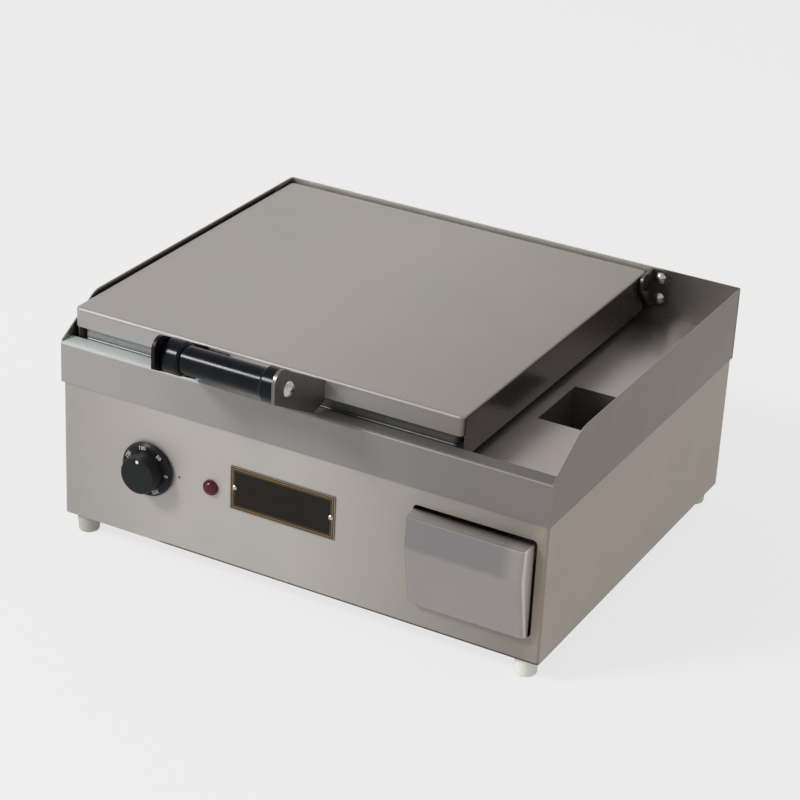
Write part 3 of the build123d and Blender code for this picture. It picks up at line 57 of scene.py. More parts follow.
# The studio: floor, backdrop and the soft light from all round
FLOOR_SIZE = 14.0
FLOOR_COLOUR = (0.83, 0.83, 0.83)
FLOOR_MOTTLE = 0.99
FLOOR_GLOW = 0.88
BACKDROP_COLOUR = (0.83, 0.83, 0.82)
SKY_COLOUR = (0.55, 0.55, 0.55)
SKY_BEGINS = 0.05
SKY_ENDS = 0.75
WORLD_COLOUR = (1.0, 0.99, 0.98)
WORLD_STRENGTH = 0.56

# The lamps: name, place, target, size, power and colour
LAMPS = (
    ("key_light", (-2.2, -2.7, 3.0), (0.0, 0.0, 0.1), (0.9, 0.9), 150.0, (1.0, 0.985, 0.965)),
    ("left_light", (-1.7, -1.5, 0.7), (-0.1, -0.1, 0.1), (0.9, 0.7), 5.0, (1.0, 0.99, 0.98)),
    ("top_light", (0.2, 0.8, 2.6), (0.0, 0.0, 0.1), (2.0, 1.6), 8.0, (0.98, 0.98, 1.0)),
)

# Edges flatter than this angle are shaded smooth, and points nearer than this distance become one
SMOOTH_ANGLE = math.radians(28)
MERGE_DISTANCE = 0.000004

# The dial on the panel, in metres: its numbers, the dot on the knob and the mark beside it
KNOB_X = -0.1415
KNOB_Z = 0.0863
PANEL_Y = -0.1622
DIAL_FACE_Y = -0.1678
FIGURES = range(0, 301, 50)
FIGURE_SIZE = 0.0050
FIGURE_CIRCLE = 0.0202
FIGURE_STEPS = 4
PRINT_DEPTH = 0.00004
PRINT_HEIGHT = 0.00008
POINTER_FLOOR_Y = -0.1804
POINTER_RADIUS = 0.0016
POINTER_RISE = 0.0132
POINTER_SIDES = 32
POINTER_FOOT = 0.000128
POINTER_STEP = 0.000064
POINTER_INSETS = (0.22, 0.30, 0.30)
INDEX_SIDES = 3
INDEX_RADIUS = 0.0017
INDEX_INSET = 0.00017
INDEX_DISTANCE = 0.0303

# The nameplate: its middle, its size and the lines along its edge
PLATE_MIDDLE = Vector((-0.0105, -0.1630, 0.0930))
PLATE_WIDTH = 0.100
PLATE_HEIGHT = 0.040
PLATE_RIM_WIDTH = 0.0008
PLATE_BORDER_INSET = 0.0015
PLATE_BORDER_WIDTH = 0.0016
PLATE_LINE_INSET = 0.0039
PLATE_LINE_WIDTH = 0.0003

# The ribs on the cap of the cable gland
GLAND_X = -0.175
GLAND_Z = 0.0608
CAP_RADIUS = 0.0115
CAP_LENGTH = 0.012
RIB_COUNT = 20
RIB_LENGTH = 0.0075
RIB_WIDTH = 0.0015
RIB_HEIGHT = 0.0011
RIB_ROUND = 0.000375
RIB_ROUND_STEPS = 2
RIB_START = 0.001

# Places where painted light or shade comes in on a surface: an axis and the two places, in metres, between
# which it does
LEDGE = ("Z", (0.1785, 0.1800))
LEDGE_LEFT = ("X", (0.02, -0.16))
LEDGE_EDGE = ("Y", (-0.1616, -0.1624))
FRONT_TO_RIGHT = ("X", (-0.19, 0.16))
PANEL_TO_RIGHT = ("X", (0.00, 0.20))
PANEL_CORNER = ("X", (0.214, 0.222))
PANEL_LEFT_END = ("X", (-0.12, -0.22))
PANEL_FRONT = ("Y", (-0.1600, -0.1610))
SIDE_RIGHT = ("X", (0.2270, 0.2285))
HEM = ("Z", (0.0199, 0.0192))
HEM_RIGHT = ("X", (-0.135, -0.125))
LID_END_RIGHT = ("X", (0.1422, 0.1430))
LID_END_LEFT = ("X", (-0.2252, -0.2260))
LID_SKIRT = ("Z", (0.2065, 0.2050))
LID_EDGE_FRONT = ("Y", (-0.1452, -0.1462))
LID_EDGE_TOP = ("Z", (0.2048, 0.2058))
SKIRT_TO_RIGHT = ("X", (-0.04, 0.16))
LID_TO_RIGHT = ("X", (-0.06, 0.14))
DRAWER_LIP = ("Z", (0.1243, 0.1250))
DRAWER_LIP_BACK = ("Y", (-0.1750, -0.1625))
DRAWER_LIP_RIGHT = ("X", (0.112, 0.150))
DRAWER_UPPER = ("Z", (0.0960, 0.1010))
DRAWER_MIDDLE = ("X", (0.2080, 0.1980))
DRAWER_END = ("X", (0.2165, 0.2175))
GUARD_OUTSIDE = ("X", (0.2292, 0.2298))
GUARD_LEFT_OUTSIDE = ("X", (-0.2292, -0.2298))
GUARD_RIM = ("Z", (0.2040, 0.2050))
GUARD_BACK = ("Y", (0.2050, 0.2080))
GUARD_BEHIND_LID = ("X", (0.155, 0.150))
GUARD_BESIDE_LID = ("X", (0.160, 0.190))
GUARD_BACK_INSIDE = ("Y", (0.2104, 0.2101))
TRAY_BACK = ("Y", (0.120, 0.185))
FOOT_RIGHT = ("X", (-0.10, 0.15))

# Zones of painted light and shade: where each begins, the factor that multiplies the colour to paint shade
# or light there, and how much rougher it is
# Painted light and shade on the casing: darker to the right of the front panel, lighter at its right
# corner, darker at its left end and on the right side, and a painted shadow along the front hem
CASING_PAINTED_LIGHT = (
    ((PANEL_TO_RIGHT, PANEL_FRONT), (0.57, 0.545, 0.52), 0.0),
    ((PANEL_CORNER, PANEL_FRONT), (1.20, 1.14, 1.07), 0.0),
    ((PANEL_LEFT_END,), (0.80, 0.80, 0.80), 0.0),
    ((SIDE_RIGHT,), (0.87, 0.79, 0.72), 0.0),
    ((HEM, PANEL_FRONT, HEM_RIGHT), (0.20, 0.20, 0.20), 0.1),
)
# Painted light and shade on the front band: darker to the right, a darker ledge, a painted highlight on the
# ledge at the left, and painted shade on the ledge's front edge there
BAND_PAINTED_LIGHT = (
    ((FRONT_TO_RIGHT,), (0.58, 0.55, 0.54), 0.0),
    ((LEDGE,), (0.74, 0.74, 0.74), 0.10),
    ((LEDGE, LEDGE_LEFT), (2.3, 2.5, 2.6), 0.10),
    ((LEDGE, LEDGE_EDGE, LEDGE_LEFT), (0.62, 0.62, 0.62), 0.06),
)
# Painted light and shade on the guard: painted shade on its outer faces, a painted highlight on its rim
# behind the lid, and painted shade on the inside of the back wall beside the lid
GUARD_PAINTED_LIGHT = (
    ((GUARD_OUTSIDE,), (0.565, 0.51, 0.475), 0.12),
    ((GUARD_LEFT_OUTSIDE,), (0.565, 0.51, 0.475), 0.12),
    ((GUARD_RIM, GUARD_BACK, GUARD_BEHIND_LID), (1.7, 1.8, 1.7), 0.25),
    ((GUARD_BACK, GUARD_BACK_INSIDE, GUARD_BESIDE_LID), (0.62, 0.62, 0.62), 0.22),
)
# Painted light and shade on the lid: darker to the right, painted shade dimming the highlight on its front
# edge, a darker, cooler skirt that darkens further to the right, and darker end faces
LID_PAINTED_LIGHT = (
    ((LID_TO_RIGHT,), (0.82, 0.78, 0.75), 0.0),
    ((LID_EDGE_FRONT, LID_EDGE_TOP), (0.76, 0.79, 0.81), 0.17),
    ((LID_SKIRT,), (0.88, 0.93, 0.97), 0.0),
    ((SKIRT_TO_RIGHT, LID_SKIRT), (0.68, 0.65, 0.63), 0.0),
    ((LID_END_RIGHT,), (0.37, 0.34, 0.31), -0.14),
    ((LID_END_LEFT,), (0.40, 0.38, 0.36), -0.14),
)
# A painted dark reflection of the back wall on the rear of the tray
TRAY_PAINTED_REFLECTION = (((TRAY_BACK,), (0.56, 0.54, 0.52), 0.0),)
# Painted light and shade on the drawer: a painted bluish reflection on its upper facet, a lighter lip with
# a painted shadow darkening it towards the gap, and a painted highlight on its right end
DRAWER_PAINTED_LIGHT = (
    ((DRAWER_UPPER, DRAWER_MIDDLE), (0.74, 0.75, 0.79), 0.0),
    ((DRAWER_LIP,), (1.30, 1.30, 1.27), 0.0),
    ((DRAWER_LIP, DRAWER_LIP_BACK, DRAWER_LIP_RIGHT), (0.22, 0.21, 0.20), 0.0),
    ((DRAWER_END,), (1.9, 1.85, 1.8), 0.1),
)
# Painted light on the fronts of the plates towards the left end
PLATE_PAINTED_LIGHT = (((LEDGE_LEFT,), (3.0, 3.2, 3.2), 0.05),)
# Painted light on the feet towards the right
FOOT_PAINTED_LIGHT = (((FOOT_RIGHT,), (1.9, 1.9, 1.85), 0.0),)

# Grain of the brushed sheets in cells per metre: level round the walls, left to right, front to back
WALL_GRAIN = (7.0, 7.0, 1300.0)
CROSS_GRAIN = (7.0, 1300.0, 1300.0)
DEPTH_GRAIN = (1300.0, 7.0, 1300.0)

# Other patterns of the finishes, in cells per metre along each axis
STEEL_CLOUDS = (9.0, 9.0, 9.0)
WIPE_MARKS = (34.0, 21.0, 34.0)
METAL_CLOUDS = (30.0, 30.0, 30.0)
WORN_PATCHES = (45.0, 45.0, 45.0)
BOARD_CLOUDS = (60.0, 60.0, 60.0)
LENS_DEPTHS = (380.0, 380.0, 380.0)
FLOOR_CLOUDS = (0.7, 0.7, 0.7)


def shaded(colour, factor):
    """A colour made darker or lighter."""
    return tuple(min(value * factor, 1.0) for value in colour)


def all_ways(cells):
    """The same number of cells along each axis."""
    return (cells, cells, cells)


def colour_sockets(sockets):
    """The sockets of a mix node that carry colours."""
    return [entry for entry in sockets if entry.type == "RGBA"]


class Finish:
    """A procedural material under construction."""

    def __init__(self, name, metallic=0.0, roughness=0.5):
        self.material = bpy.data.materials.new(name)
        self.material.use_nodes = True
        self.nodes = self.material.node_tree.nodes
        self.links = self.material.node_tree.links
        self.shader = self.nodes["Principled BSDF"]
        self.shader.inputs["Metallic"].default_value = metallic
        self.shader.inputs["Roughness"].default_value = roughness
        self.place = self.nodes.new("ShaderNodeTexCoord")

    def noise(self, stretch, detail=3.0, rough=0.5):
        """A noise pattern, as fine along each axis as the stretch says, in cells per metre."""
        mapping = self.nodes.new("ShaderNodeMapping")
        mapping.inputs["Scale"].default_value = stretch
        self.links.new(self.place.outputs["Object"], mapping.inputs["Vector"])
        pattern = self.nodes.new("ShaderNodeTexNoise")
        pattern.inputs["Scale"].default_value = 1.0
        pattern.inputs["Detail"].default_value = detail
        pattern.inputs["Roughness"].default_value = rough
        self.links.new(mapping.outputs["Vector"], pattern.inputs["Vector"])
        return pattern.outputs["Fac"]

    def spread(self, value, low, high, first=0.3, last=0.7):
        """The values between first and last, where most of a pattern's lie, spread over a range."""
        node = self.nodes.new("ShaderNodeMapRange")
        node.inputs["From Min"].default_value = first
        node.inputs["From Max"].default_value = last
        node.inputs["To Min"].default_value = low
        node.inputs["To Max"].default_value = high
        self.links.new(value, node.inputs["Value"])
        return node.outputs["Result"]

    def share(self, value, most=1.0):
        """A pattern as a share that runs from none to the most."""
        return self.spread(value, 0.0, most)

    def along(self, axis, ends):
        """A share that rises from 0 to 1 between two places on one axis of the object."""
        split = self.nodes.new("ShaderNodeSeparateXYZ")
        self.links.new(self.place.outputs["Object"], split.inputs["Vector"])
        return self.spread(split.outputs[axis], 0.0, 1.0, *ends)

    def within(self, starts):
        """The share of a zone that begins at a place on each of some axes."""
        share = self.along(*starts[0])
        for start in starts[1:]:
            share = self.combine("MULTIPLY", share, self.along(*start))
        return share

    def blend(self, share, first, second, way="MIX"):
        """A colour between two others, or one multiplied by another as far as the share says."""
        node = self.nodes.new("ShaderNodeMix")
        node.data_type = "RGBA"
        node.blend_type = way
        self.links.new(share, node.inputs["Factor"])
        for socket, colour in zip(colour_sockets(node.inputs), (first, second)):
            if isinstance(colour, tuple):
                socket.default_value = (*colour, 1.0)
            else:
                self.links.new(colour, socket)
        return colour_sockets(node.outputs)[0]

    def combine(self, operation, first, second):
        """Two patterns put together."""
        node = self.nodes.new("ShaderNodeMath")
        node.operation = operation
        self.links.new(first, node.inputs[0])
        self.links.new(second, node.inputs[1])
        return node.outputs["Value"]

    def zoned(self, base, sheen, zones):
        """The colour and the roughness with zones of painted light and shade laid on.

        Each zone is where it begins, on one axis or more, the factor that the surface's colour is
        multiplied by there to paint shade or light, and how much rougher it is."""
        for starts, painted_light, rougher in zones:
            share = self.within(starts)
            base = self.blend(share, base, painted_light, way="MULTIPLY")
            sheen = self.combine("ADD", sheen, self.spread(share, 0.0, rougher, first=0.0, last=1.0))
        return base, sheen

    def colour(self, value):
        """Gives the surface its colour."""
        self.links.new(value, self.shader.inputs["Base Color"])

    def roughness(self, value):
        """Gives the surface its roughness."""
        self.links.new(value, self.shader.inputs["Roughness"])

    def relief(self, value, strength, depth):
        """Gives the surface a fine relief, with its depth in metres."""
        bump = self.nodes.new("ShaderNodeBump")
        bump.inputs["Strength"].default_value = strength
        bump.inputs["Distance"].default_value = depth
        self.links.new(value, bump.inputs["Height"])
        self.links.new(bump.outputs["Normal"], self.shader.inputs["Normal"])


def brushed_steel(name, colour, roughness, grain, metallic=0.8, stain=0.04, zones=()):
    """Brushed stainless steel: fine streaks and cloudy wipe marks, with zones of painted light and shade.
    """
    finish = Finish(name, metallic=metallic)
    streaks = finish.noise(grain, detail=4.0, rough=0.65)
    clouds = finish.noise(STEEL_CLOUDS, detail=3.0)
    smears = finish.noise(WIPE_MARKS, detail=4.0, rough=0.6)
    warm = (colour[0] * (1.0 + stain), colour[1], colour[2])
    base = finish.blend(finish.share(clouds), shaded(colour, 1.0 - stain), warm)
    sheen = finish.combine("ADD", finish.spread(streaks, roughness - 0.02, roughness + 0.02),
                           finish.spread(smears, -0.02, 0.04))
    base, sheen = finish.zoned(base, sheen, zones)
    pale = (1.25, 1.25, 1.25)
    finish.colour(finish.blend(finish.share(streaks, most=0.10), base, pale, way="MULTIPLY"))
    finish.roughness(sheen)
    finish.relief(streaks, strength=0.05, depth=0.00002)
    return finish.material


def plain_metal(name, colour, roughness, cell=220.0, spots=0.12, metallic=1.0, zones=()):
    """Plated, cast or galvanised metal: a fine mottle in colour and roughness, and any zones of painted
    light and shade.
    """
    finish = Finish(name, metallic=metallic)
    mottle = finish.noise(all_ways(cell), detail=4.0, rough=0.6)
    clouds = finish.noise(METAL_CLOUDS, detail=2.0)
    dark = shaded(colour, 1.0 - spots)
    light = shaded(colour, 1.0 + spots)
    base = finish.blend(finish.share(mottle), dark, light)
    base = finish.blend(finish.share(clouds, most=0.4), base, shaded(colour, 0.8))
    base, sheen = finish.zoned(base, finish.spread(mottle, roughness - 0.05, roughness + 0.08), zones)
    finish.colour(base)
    finish.roughness(sheen)
    finish.relief(mottle, strength=0.15, depth=0.00005)
    return finish.material


def moulded(name, colour, roughness, gloss=0.5, cell=500.0, bump=0.1, worn=0.1, zones=()):
    """Moulded plastic, rubber, enamel or ceramic: a faint skin texture and dull wiped patches, and any
    zones of painted light and shade.
    """
    finish = Finish(name)
    skin = finish.noise(all_ways(cell), detail=3.0)
    patches = finish.noise(WORN_PATCHES, detail=4.0, rough=0.6)
    dark = shaded(colour, 1.0 - worn)
    light = shaded(colour, 1.0 + worn)
    base = finish.blend(finish.share(patches), dark, light)
    sheen = finish.combine("ADD", finish.spread(patches, roughness - 0.03, roughness + 0.05),
                           finish.spread(skin, -0.01, 0.02))
    base, sheen = finish.zoned(base, sheen, zones)
    finish.colour(base)
    finish.roughness(sheen)
    finish.relief(skin, strength=bump, depth=0.00006)
    finish.shader.inputs["Specular IOR Level"].default_value = gloss
    return finish.material


def fibrous(name, colour, cell=900.0):
    """Mineral board or braided sleeving: short pale and dark fibres."""
    finish = Finish(name, roughness=0.9)
    fibres = finish.noise((cell, cell / 6, cell / 3), detail=5.0, rough=0.7)
    clouds = finish.noise(BOARD_CLOUDS)
    base = finish.blend(finish.share(fibres), shaded(colour, 0.75), shaded(colour, 1.1))
    finish.colour(finish.blend(finish.share(clouds, most=0.35), base, shaded(colour, 0.8)))
    finish.relief(fibres, strength=0.6, depth=0.0002)
    return finish.material


def lens_plastic(name, colour):
    """Clear red plastic with a dark lamp behind it."""
    finish = Finish(name, roughness=0.12)
    depth = finish.noise(LENS_DEPTHS, detail=2.0)
    finish.colour(finish.blend(finish.share(depth), shaded(colour, 0.75), shaded(colour, 1.2)))
    finish.relief(depth, strength=0.08, depth=0.00005)
    finish.shader.inputs["Transmission Weight"].default_value = 0.10
    finish.shader.inputs["IOR"].default_value = 1.45
    finish.shader.inputs["Specular IOR Level"].default_value = 0.25
    return finish.material


def make_finishes():
    """All the finishes of the object, by name."""
    return {
        "casing steel": brushed_steel("casing_steel", (0.405, 0.392, 0.37), 0.42, WALL_GRAIN, metallic=0.5,
                                      zones=CASING_PAINTED_LIGHT),
        "band steel": brushed_steel("band_steel", (0.312, 0.312, 0.302), 0.40, WALL_GRAIN, metallic=0.5,
                                    zones=BAND_PAINTED_LIGHT),
        "guard steel": brushed_steel("guard_steel", (0.34, 0.325, 0.305), 0.24, WALL_GRAIN, metallic=0.95,
                                     zones=GUARD_PAINTED_LIGHT),
        "lid steel": brushed_steel("lid_steel", (0.40, 0.38, 0.362), 0.40, CROSS_GRAIN, metallic=0.65,
                                   zones=LID_PAINTED_LIGHT),
        "tray steel": brushed_steel("tray_steel", (0.49, 0.445, 0.43), 0.30, DEPTH_GRAIN, metallic=0.95,
                                    zones=TRAY_PAINTED_REFLECTION),
        "drawer steel": brushed_steel("drawer_steel", (0.32, 0.305, 0.295), 0.36, CROSS_GRAIN,
                                      zones=DRAWER_PAINTED_LIGHT),
        "chute steel": brushed_steel("chute_steel", (0.21, 0.20, 0.195), 0.40, WALL_GRAIN),
        "bracket steel": brushed_steel("bracket_steel", (0.11, 0.105, 0.10), 0.34, WALL_GRAIN),
        # The left arm wears the right arm's steel darkened almost to black: painted shade on the same steel
        "left arm steel in painted shade": brushed_steel("left_arm_steel_painted_shade", (0.012, 0.011, 0.011), 0.40, CROSS_GRAIN),
        "right arm steel": brushed_steel("right_arm_steel", (0.17, 0.16, 0.155), 0.38, CROSS_GRAIN),
        "galvanised sheet": plain_metal("galvanised_sheet", (0.46, 0.47, 0.48), 0.42, cell=90.0, spots=0.2),
        "plated steel": plain_metal("plated_steel", (0.54, 0.52, 0.50), 0.24),
        "dark steel": plain_metal("dark_steel", (0.06, 0.06, 0.06), 0.38),
        "cast plate": plain_metal("cast_plate", (0.10, 0.10, 0.10), 0.52, cell=400.0, spots=0.2,
                                  metallic=0.6, zones=PLATE_PAINTED_LIGHT),
        "heater sheath": plain_metal("heater_sheath", (0.28, 0.23, 0.20), 0.45),
        "copper": plain_metal("copper", (0.72, 0.38, 0.24), 0.28),
        "brass": plain_metal("brass", (0.72, 0.54, 0.24), 0.26),
        "gilt": plain_metal("gilt", (0.22, 0.145, 0.06), 0.36, cell=600.0, spots=0.2),
        "pale edge": plain_metal("pale_edge", (0.30, 0.29, 0.28), 0.32, cell=600.0),
        "mineral board": fibrous("mineral_board", (0.66, 0.61, 0.52)),
        "glass sleeving": fibrous("glass_sleeving", (0.72, 0.68, 0.58), cell=2400.0),
        "ceramic": moulded("ceramic", (0.78, 0.75, 0.68), 0.55, worn=0.05),
        "bakelite": moulded("bakelite", (0.003, 0.004, 0.006), 0.18, gloss=0.14, bump=0.03, worn=0.3),
        "dial bakelite": moulded("dial_bakelite", (0.010, 0.011, 0.012), 0.32, gloss=0.15, bump=0.08,
                                 worn=0.3),
        "nylon": moulded("nylon", (0.022, 0.022, 0.024), 0.42, bump=0.2, worn=0.2),
        "foot rubber": moulded("foot_rubber", (0.35, 0.36, 0.33), 0.62, bump=0.35, worn=0.08,
                               zones=FOOT_PAINTED_LIGHT),
        "enamel": moulded("enamel", (0.009, 0.008, 0.006), 0.34, gloss=0.15, cell=1500.0, bump=0.01,
                          worn=0.05),
        "white print": moulded("white_print", (0.62, 0.62, 0.61), 0.5, bump=0.2, worn=0.08),
        "black print": moulded("black_print", (0.03, 0.03, 0.03), 0.5, bump=0.2, worn=0.15),
        "lens": lens_plastic("lens", (0.085, 0.010, 0.019)),
    }


# The nodes that wear each finish
NODE_FINISHES = {
    "casing steel": ["base_casing", "rear_panel"],
    "band steel": ["front_band"],
    "guard steel": ["splash_guard"],
    "lid steel": ["lid_cover"],
    "tray steel": ["tray_floor"],
    "drawer steel": ["drawer_front", "drawer_pan"],
    "chute steel": ["drain_chute"],
    "bracket steel": ["hinge_bracket_right", "hinge_plate_left"],
    "left arm steel in painted shade": ["handle_arm_left"],
    "right arm steel": ["handle_arm_right"],
    "galvanised sheet": ["bottom_cover", "heat_shield", "lower_element_clamp", "upper_element_clamp",
                         "drawer_rail_left", "drawer_rail_right", "lid_brackets"],
    "plated steel": ["casing_screws", "foot_screws", "lower_plate_studs", "thermostat_screws",
                     "hinge_screws", "hinge_nuts", "hinge_doublers", "lid_bracket_screws", "handle_rivets",
                     "handle_rod", "handle_screws", "thermostat_shaft", "nameplate_rivets"],
    "dark steel": ["hinge_pin_left", "hinge_pin_right"],
    "cast plate": ["lower_plate", "upper_plate"],
    "heater sheath": ["lower_element", "upper_element"],
    "copper": ["thermostat_sensor"],
    "brass": ["earth_stud"],
    "mineral board": ["lower_insulation", "upper_insulation"],
    "glass sleeving": ["internal_wiring", "lid_wiring", "lid_lead", "lid_lead_tail"],
    "ceramic": ["thermostat", "terminal_block", "lid_terminal_block"],
    "bakelite": ["handle_grip"],
    "dial bakelite": ["control_knob"],
    "nylon": ["pilot_lamp_body", "cable_gland", "gland_nut", "floor_grommet"],
    "foot rubber": ["feet"],
    "enamel": ["nameplate"],
    "lens": ["pilot_lamp_lens"],
}


def select_none():
    """Leaves nothing selected."""
    bpy.ops.object.select_all(action="DESELECT")


def select_only(piece):
    """Makes one piece the only selected and the active one."""
    select_none()
    piece.select_set(True)
    bpy.context.view_layer.objects.active = piece


def wear(piece, material):
    """Gives a piece one material."""
    piece.data.materials.clear()
    piece.data.materials.append(material)


def dress_nodes(frame, finishes):
    """Gives each node of the frame its finish."""
    for name, nodes in NODE_FINISHES.items():
        for node in nodes:
            piece = frame["nodes"][node]
            wear(piece, finishes[name])
            select_only(piece)
            bpy.ops.object.shade_smooth_by_angle(angle=SMOOTH_ANGLE)


def edit_all():
    """Opens the active piece for editing, with all of it selected."""
    bpy.ops.object.mode_set(mode="EDIT")
    bpy.ops.mesh.select_all(action="SELECT")


def extrude_up(height):
    """Extrudes the faces that are selected upwards."""
    bpy.ops.mesh.extrude_region_move(TRANSFORM_OT_translate={"value": (0, 0, height)})


def settle(piece, name, material, body):
    """Ends a new piece: its place goes into its mesh, and it gets its name, finish and body."""
    select_only(piece)
    bpy.ops.object.transform_apply(location=True, rotation=True, scale=True)
    edit_all()
    bpy.ops.mesh.remove_doubles(threshold=MERGE_DISTANCE)
    bpy.ops.mesh.normals_make_consistent(inside=False)
    bpy.ops.object.mode_set(mode="OBJECT")
    piece.name = name
    wear(piece, material)
    bpy.ops.object.shade_smooth_by_angle(angle=SMOOTH_ANGLE)
    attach(piece, body)
    select_none()


def stand_up(piece, place):
    """Turns a piece that was made lying flat to face the front, and puts it at its place."""
    piece.rotation_euler = (math.radians(90), 0.0, 0.0)
    piece.location = place


def joined(parts):
    """Several pieces made into one."""
    select_none()
    for part in parts:
        part.select_set(True)
    bpy.context.view_layer.objects.active = parts[0]
    bpy.ops.object.join()
    return bpy.context.active_object


def printed_number(number):
    """One number of the dial, lying flat with its top outwards, as many degrees round as it says."""
    turn = math.radians(number)
    bpy.ops.object.text_add(location=(0.0, 0.0, 0.0))
    text = bpy.context.active_object
    text.data.body = str(number)
    text.data.size = FIGURE_SIZE
    text.data.align_x = "CENTER"
    text.data.align_y = "CENTER"
    text.data.extrude = PRINT_HEIGHT / 2
    text.data.resolution_u = FIGURE_STEPS
    bpy.ops.object.convert(target="MESH")
    figure = bpy.context.active_object
    figure.rotation_euler = (0.0, 0.0, turn - math.radians(90))
    figure.location = (FIGURE_CIRCLE * math.cos(turn), FIGURE_CIRCLE * math.sin(turn), 0.0)
    bpy.ops.object.transform_apply(location=True, rotation=True, scale=True)
    select_none()
    return figure


def make_dial_numbers(material):
    """The plain numbers printed round the dial."""
    numbers = joined([printed_number(number) for number in FIGURES])
    stand_up(numbers, (KNOB_X, DIAL_FACE_Y + PRINT_DEPTH - PRINT_HEIGHT / 2, KNOB_Z))
    settle(numbers, "dial_numbers", material, "knob")


def make_pointer_dot(material):
    """The crowned white dot in the sunk mark of the knob."""
    select_none()
    bpy.ops.mesh.primitive_circle_add(vertices=POINTER_SIDES, radius=POINTER_RADIUS, fill_type="NGON",
                                      location=(0, 0, 0))
    dot = bpy.context.active_object
    edit_all()
    extrude_up(POINTER_FOOT)
    for inset in POINTER_INSETS:
        bpy.ops.mesh.inset(thickness=POINTER_RADIUS * inset)
        bpy.ops.transform.translate(value=(0, 0, POINTER_STEP))
    bpy.ops.object.mode_set(mode="OBJECT")
    stand_up(dot, (KNOB_X, POINTER_FLOOR_Y, KNOB_Z + POINTER_RISE))
    settle(dot, "pointer_dot", material, "knob")


def make_index_mark(material):
    """The small dark mark on the panel that the dial's numbers come to."""
    select_none()
    bpy.ops.mesh.primitive_circle_add(vertices=INDEX_SIDES, radius=INDEX_RADIUS, fill_type="NGON",
                                      location=(0, 0, 0))
    mark = bpy.context.active_object
    edit_all()
    bpy.ops.transform.rotate(value=math.radians(-90), orient_axis="Z", center_override=(0, 0, 0))
    extrude_up(PRINT_HEIGHT)
    bpy.ops.mesh.inset(thickness=INDEX_INSET)
    bpy.ops.transform.translate(value=(0, 0, PRINT_HEIGHT / 2))
    bpy.ops.object.mode_set(mode="OBJECT")
    stand_up(mark, (KNOB_X + INDEX_DISTANCE, PANEL_Y + PRINT_DEPTH, KNOB_Z))
    settle(mark, "index_mark", material, "base")


def plate_frame(name, material, inset, width):
    """A thin raised line that runs round the nameplate, a given way in from its edge."""
    select_none()
    bpy.ops.mesh.primitive_plane_add(size=1.0, location=(0, 0, 0))
    line = bpy.context.active_object
    edit_all()
    bpy.ops.transform.resize(value=(PLATE_WIDTH - 2 * inset, PLATE_HEIGHT - 2 * inset, 1.0))
    bpy.ops.mesh.inset(thickness=width)
    bpy.ops.mesh.delete(type="FACE")
    bpy.ops.mesh.select_all(action="SELECT")
    extrude_up(PRINT_HEIGHT)
    bpy.ops.object.mode_set(mode="OBJECT")
    stand_up(line, PLATE_MIDDLE + Vector((0.0, PRINT_DEPTH, 0.0)))
    settle(line, name, material, "base")


def make_gland_ribs(material):
    """The gripping ribs round the cap of the cable gland, one modelled and the rest copied."""
    select_none()
    cap_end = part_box("cable_gland")[1].y
    middle_y = cap_end - CAP_LENGTH + RIB_START + RIB_LENGTH / 2
    bpy.ops.mesh.primitive_cube_add(size=1.0, location=(0, 0, 0))
    rib = bpy.context.active_object
    edit_all()
    bpy.ops.transform.resize(value=(RIB_WIDTH, RIB_LENGTH, RIB_HEIGHT))
    bpy.ops.mesh.bevel(offset=RIB_ROUND, segments=RIB_ROUND_STEPS, affect="EDGES")
    bpy.ops.transform.translate(value=(0, 0, CAP_RADIUS))
    bpy.ops.object.mode_set(mode="OBJECT")
    ribs = [rib]
    for number in range(1, RIB_COUNT):
        select_only(rib)
        bpy.ops.object.duplicate(linked=False)
        copy = bpy.context.active_object
        copy.rotation_euler = (0.0, math.radians(360 * number / RIB_COUNT), 0.0)
        bpy.ops.object.transform_apply(location=True, rotation=True, scale=True)
        ribs.append(copy)
    whole = joined(ribs)
    whole.location = (GLAND_X, middle_y, GLAND_Z)
    settle(whole, "gland_ribs", material, "base")


def make_camera():
    """The camera, at the photograph's place."""
    back = Vector((math.sin(CAMERA_AZIMUTH) * math.cos(CAMERA_ELEVATION),
                   -math.cos(CAMERA_AZIMUTH) * math.cos(CAMERA_ELEVATION), math.sin(CAMERA_ELEVATION)))
    right = Vector((math.cos(CAMERA_AZIMUTH), math.sin(CAMERA_AZIMUTH), 0.0))
    upward = back.cross(right)
    turned_right = math.cos(CAMERA_ROLL) * right + math.sin(CAMERA_ROLL) * upward
    turned_up = -math.sin(CAMERA_ROLL) * right + math.cos(CAMERA_ROLL) * upward
    data = bpy.data.cameras.new("camera")
    data.sensor_width = CAMERA_SENSOR
    data.lens = CAMERA_LENS
    data.clip_start = CAMERA_NEAR
    data.clip_end = CAMERA_FAR
    camera = bpy.data.objects.new("camera", data)
    place = CAMERA_TARGET + CAMERA_DISTANCE * back
    axes = Matrix((turned_right, turned_up, back)).transposed()
    camera.matrix_world = Matrix.Translation(place) @ axes.to_4x4()
    bpy.context.scene.collection.objects.link(camera)
    bpy.context.scene.camera = camera


def soft_light(name, place, target, size, power, colour):
    """A large soft lamp that points at a place."""
    data = bpy.data.lights.new(name, "AREA")
    data.shape = "RECTANGLE"
    data.size, data.size_y = size
    data.energy = power
    data.color = colour
    lamp = bpy.data.objects.new(name, data)
    direction = Vector(place) - Vector(target)
    lamp.matrix_world = Matrix.Translation(place) @ direction.to_track_quat("Z", "Y").to_matrix().to_4x4()
    bpy.context.scene.collection.objects.link(lamp)


def seen_directly(nodes, links):
    """1 for the camera and for reflections and clear parts that show the surroundings, 0 for light."""
    path = nodes.new("ShaderNodeLightPath")
    seen = path.outputs["Is Camera Ray"]
    for way in ("Is Glossy Ray", "Is Transmission Ray"):
        either = nodes.new("ShaderNodeMath")
        either.operation = "MAXIMUM"
        links.new(seen, either.inputs[0])
        links.new(path.outputs[way], either.inputs[1])
        seen = either.outputs["Value"]
    return seen


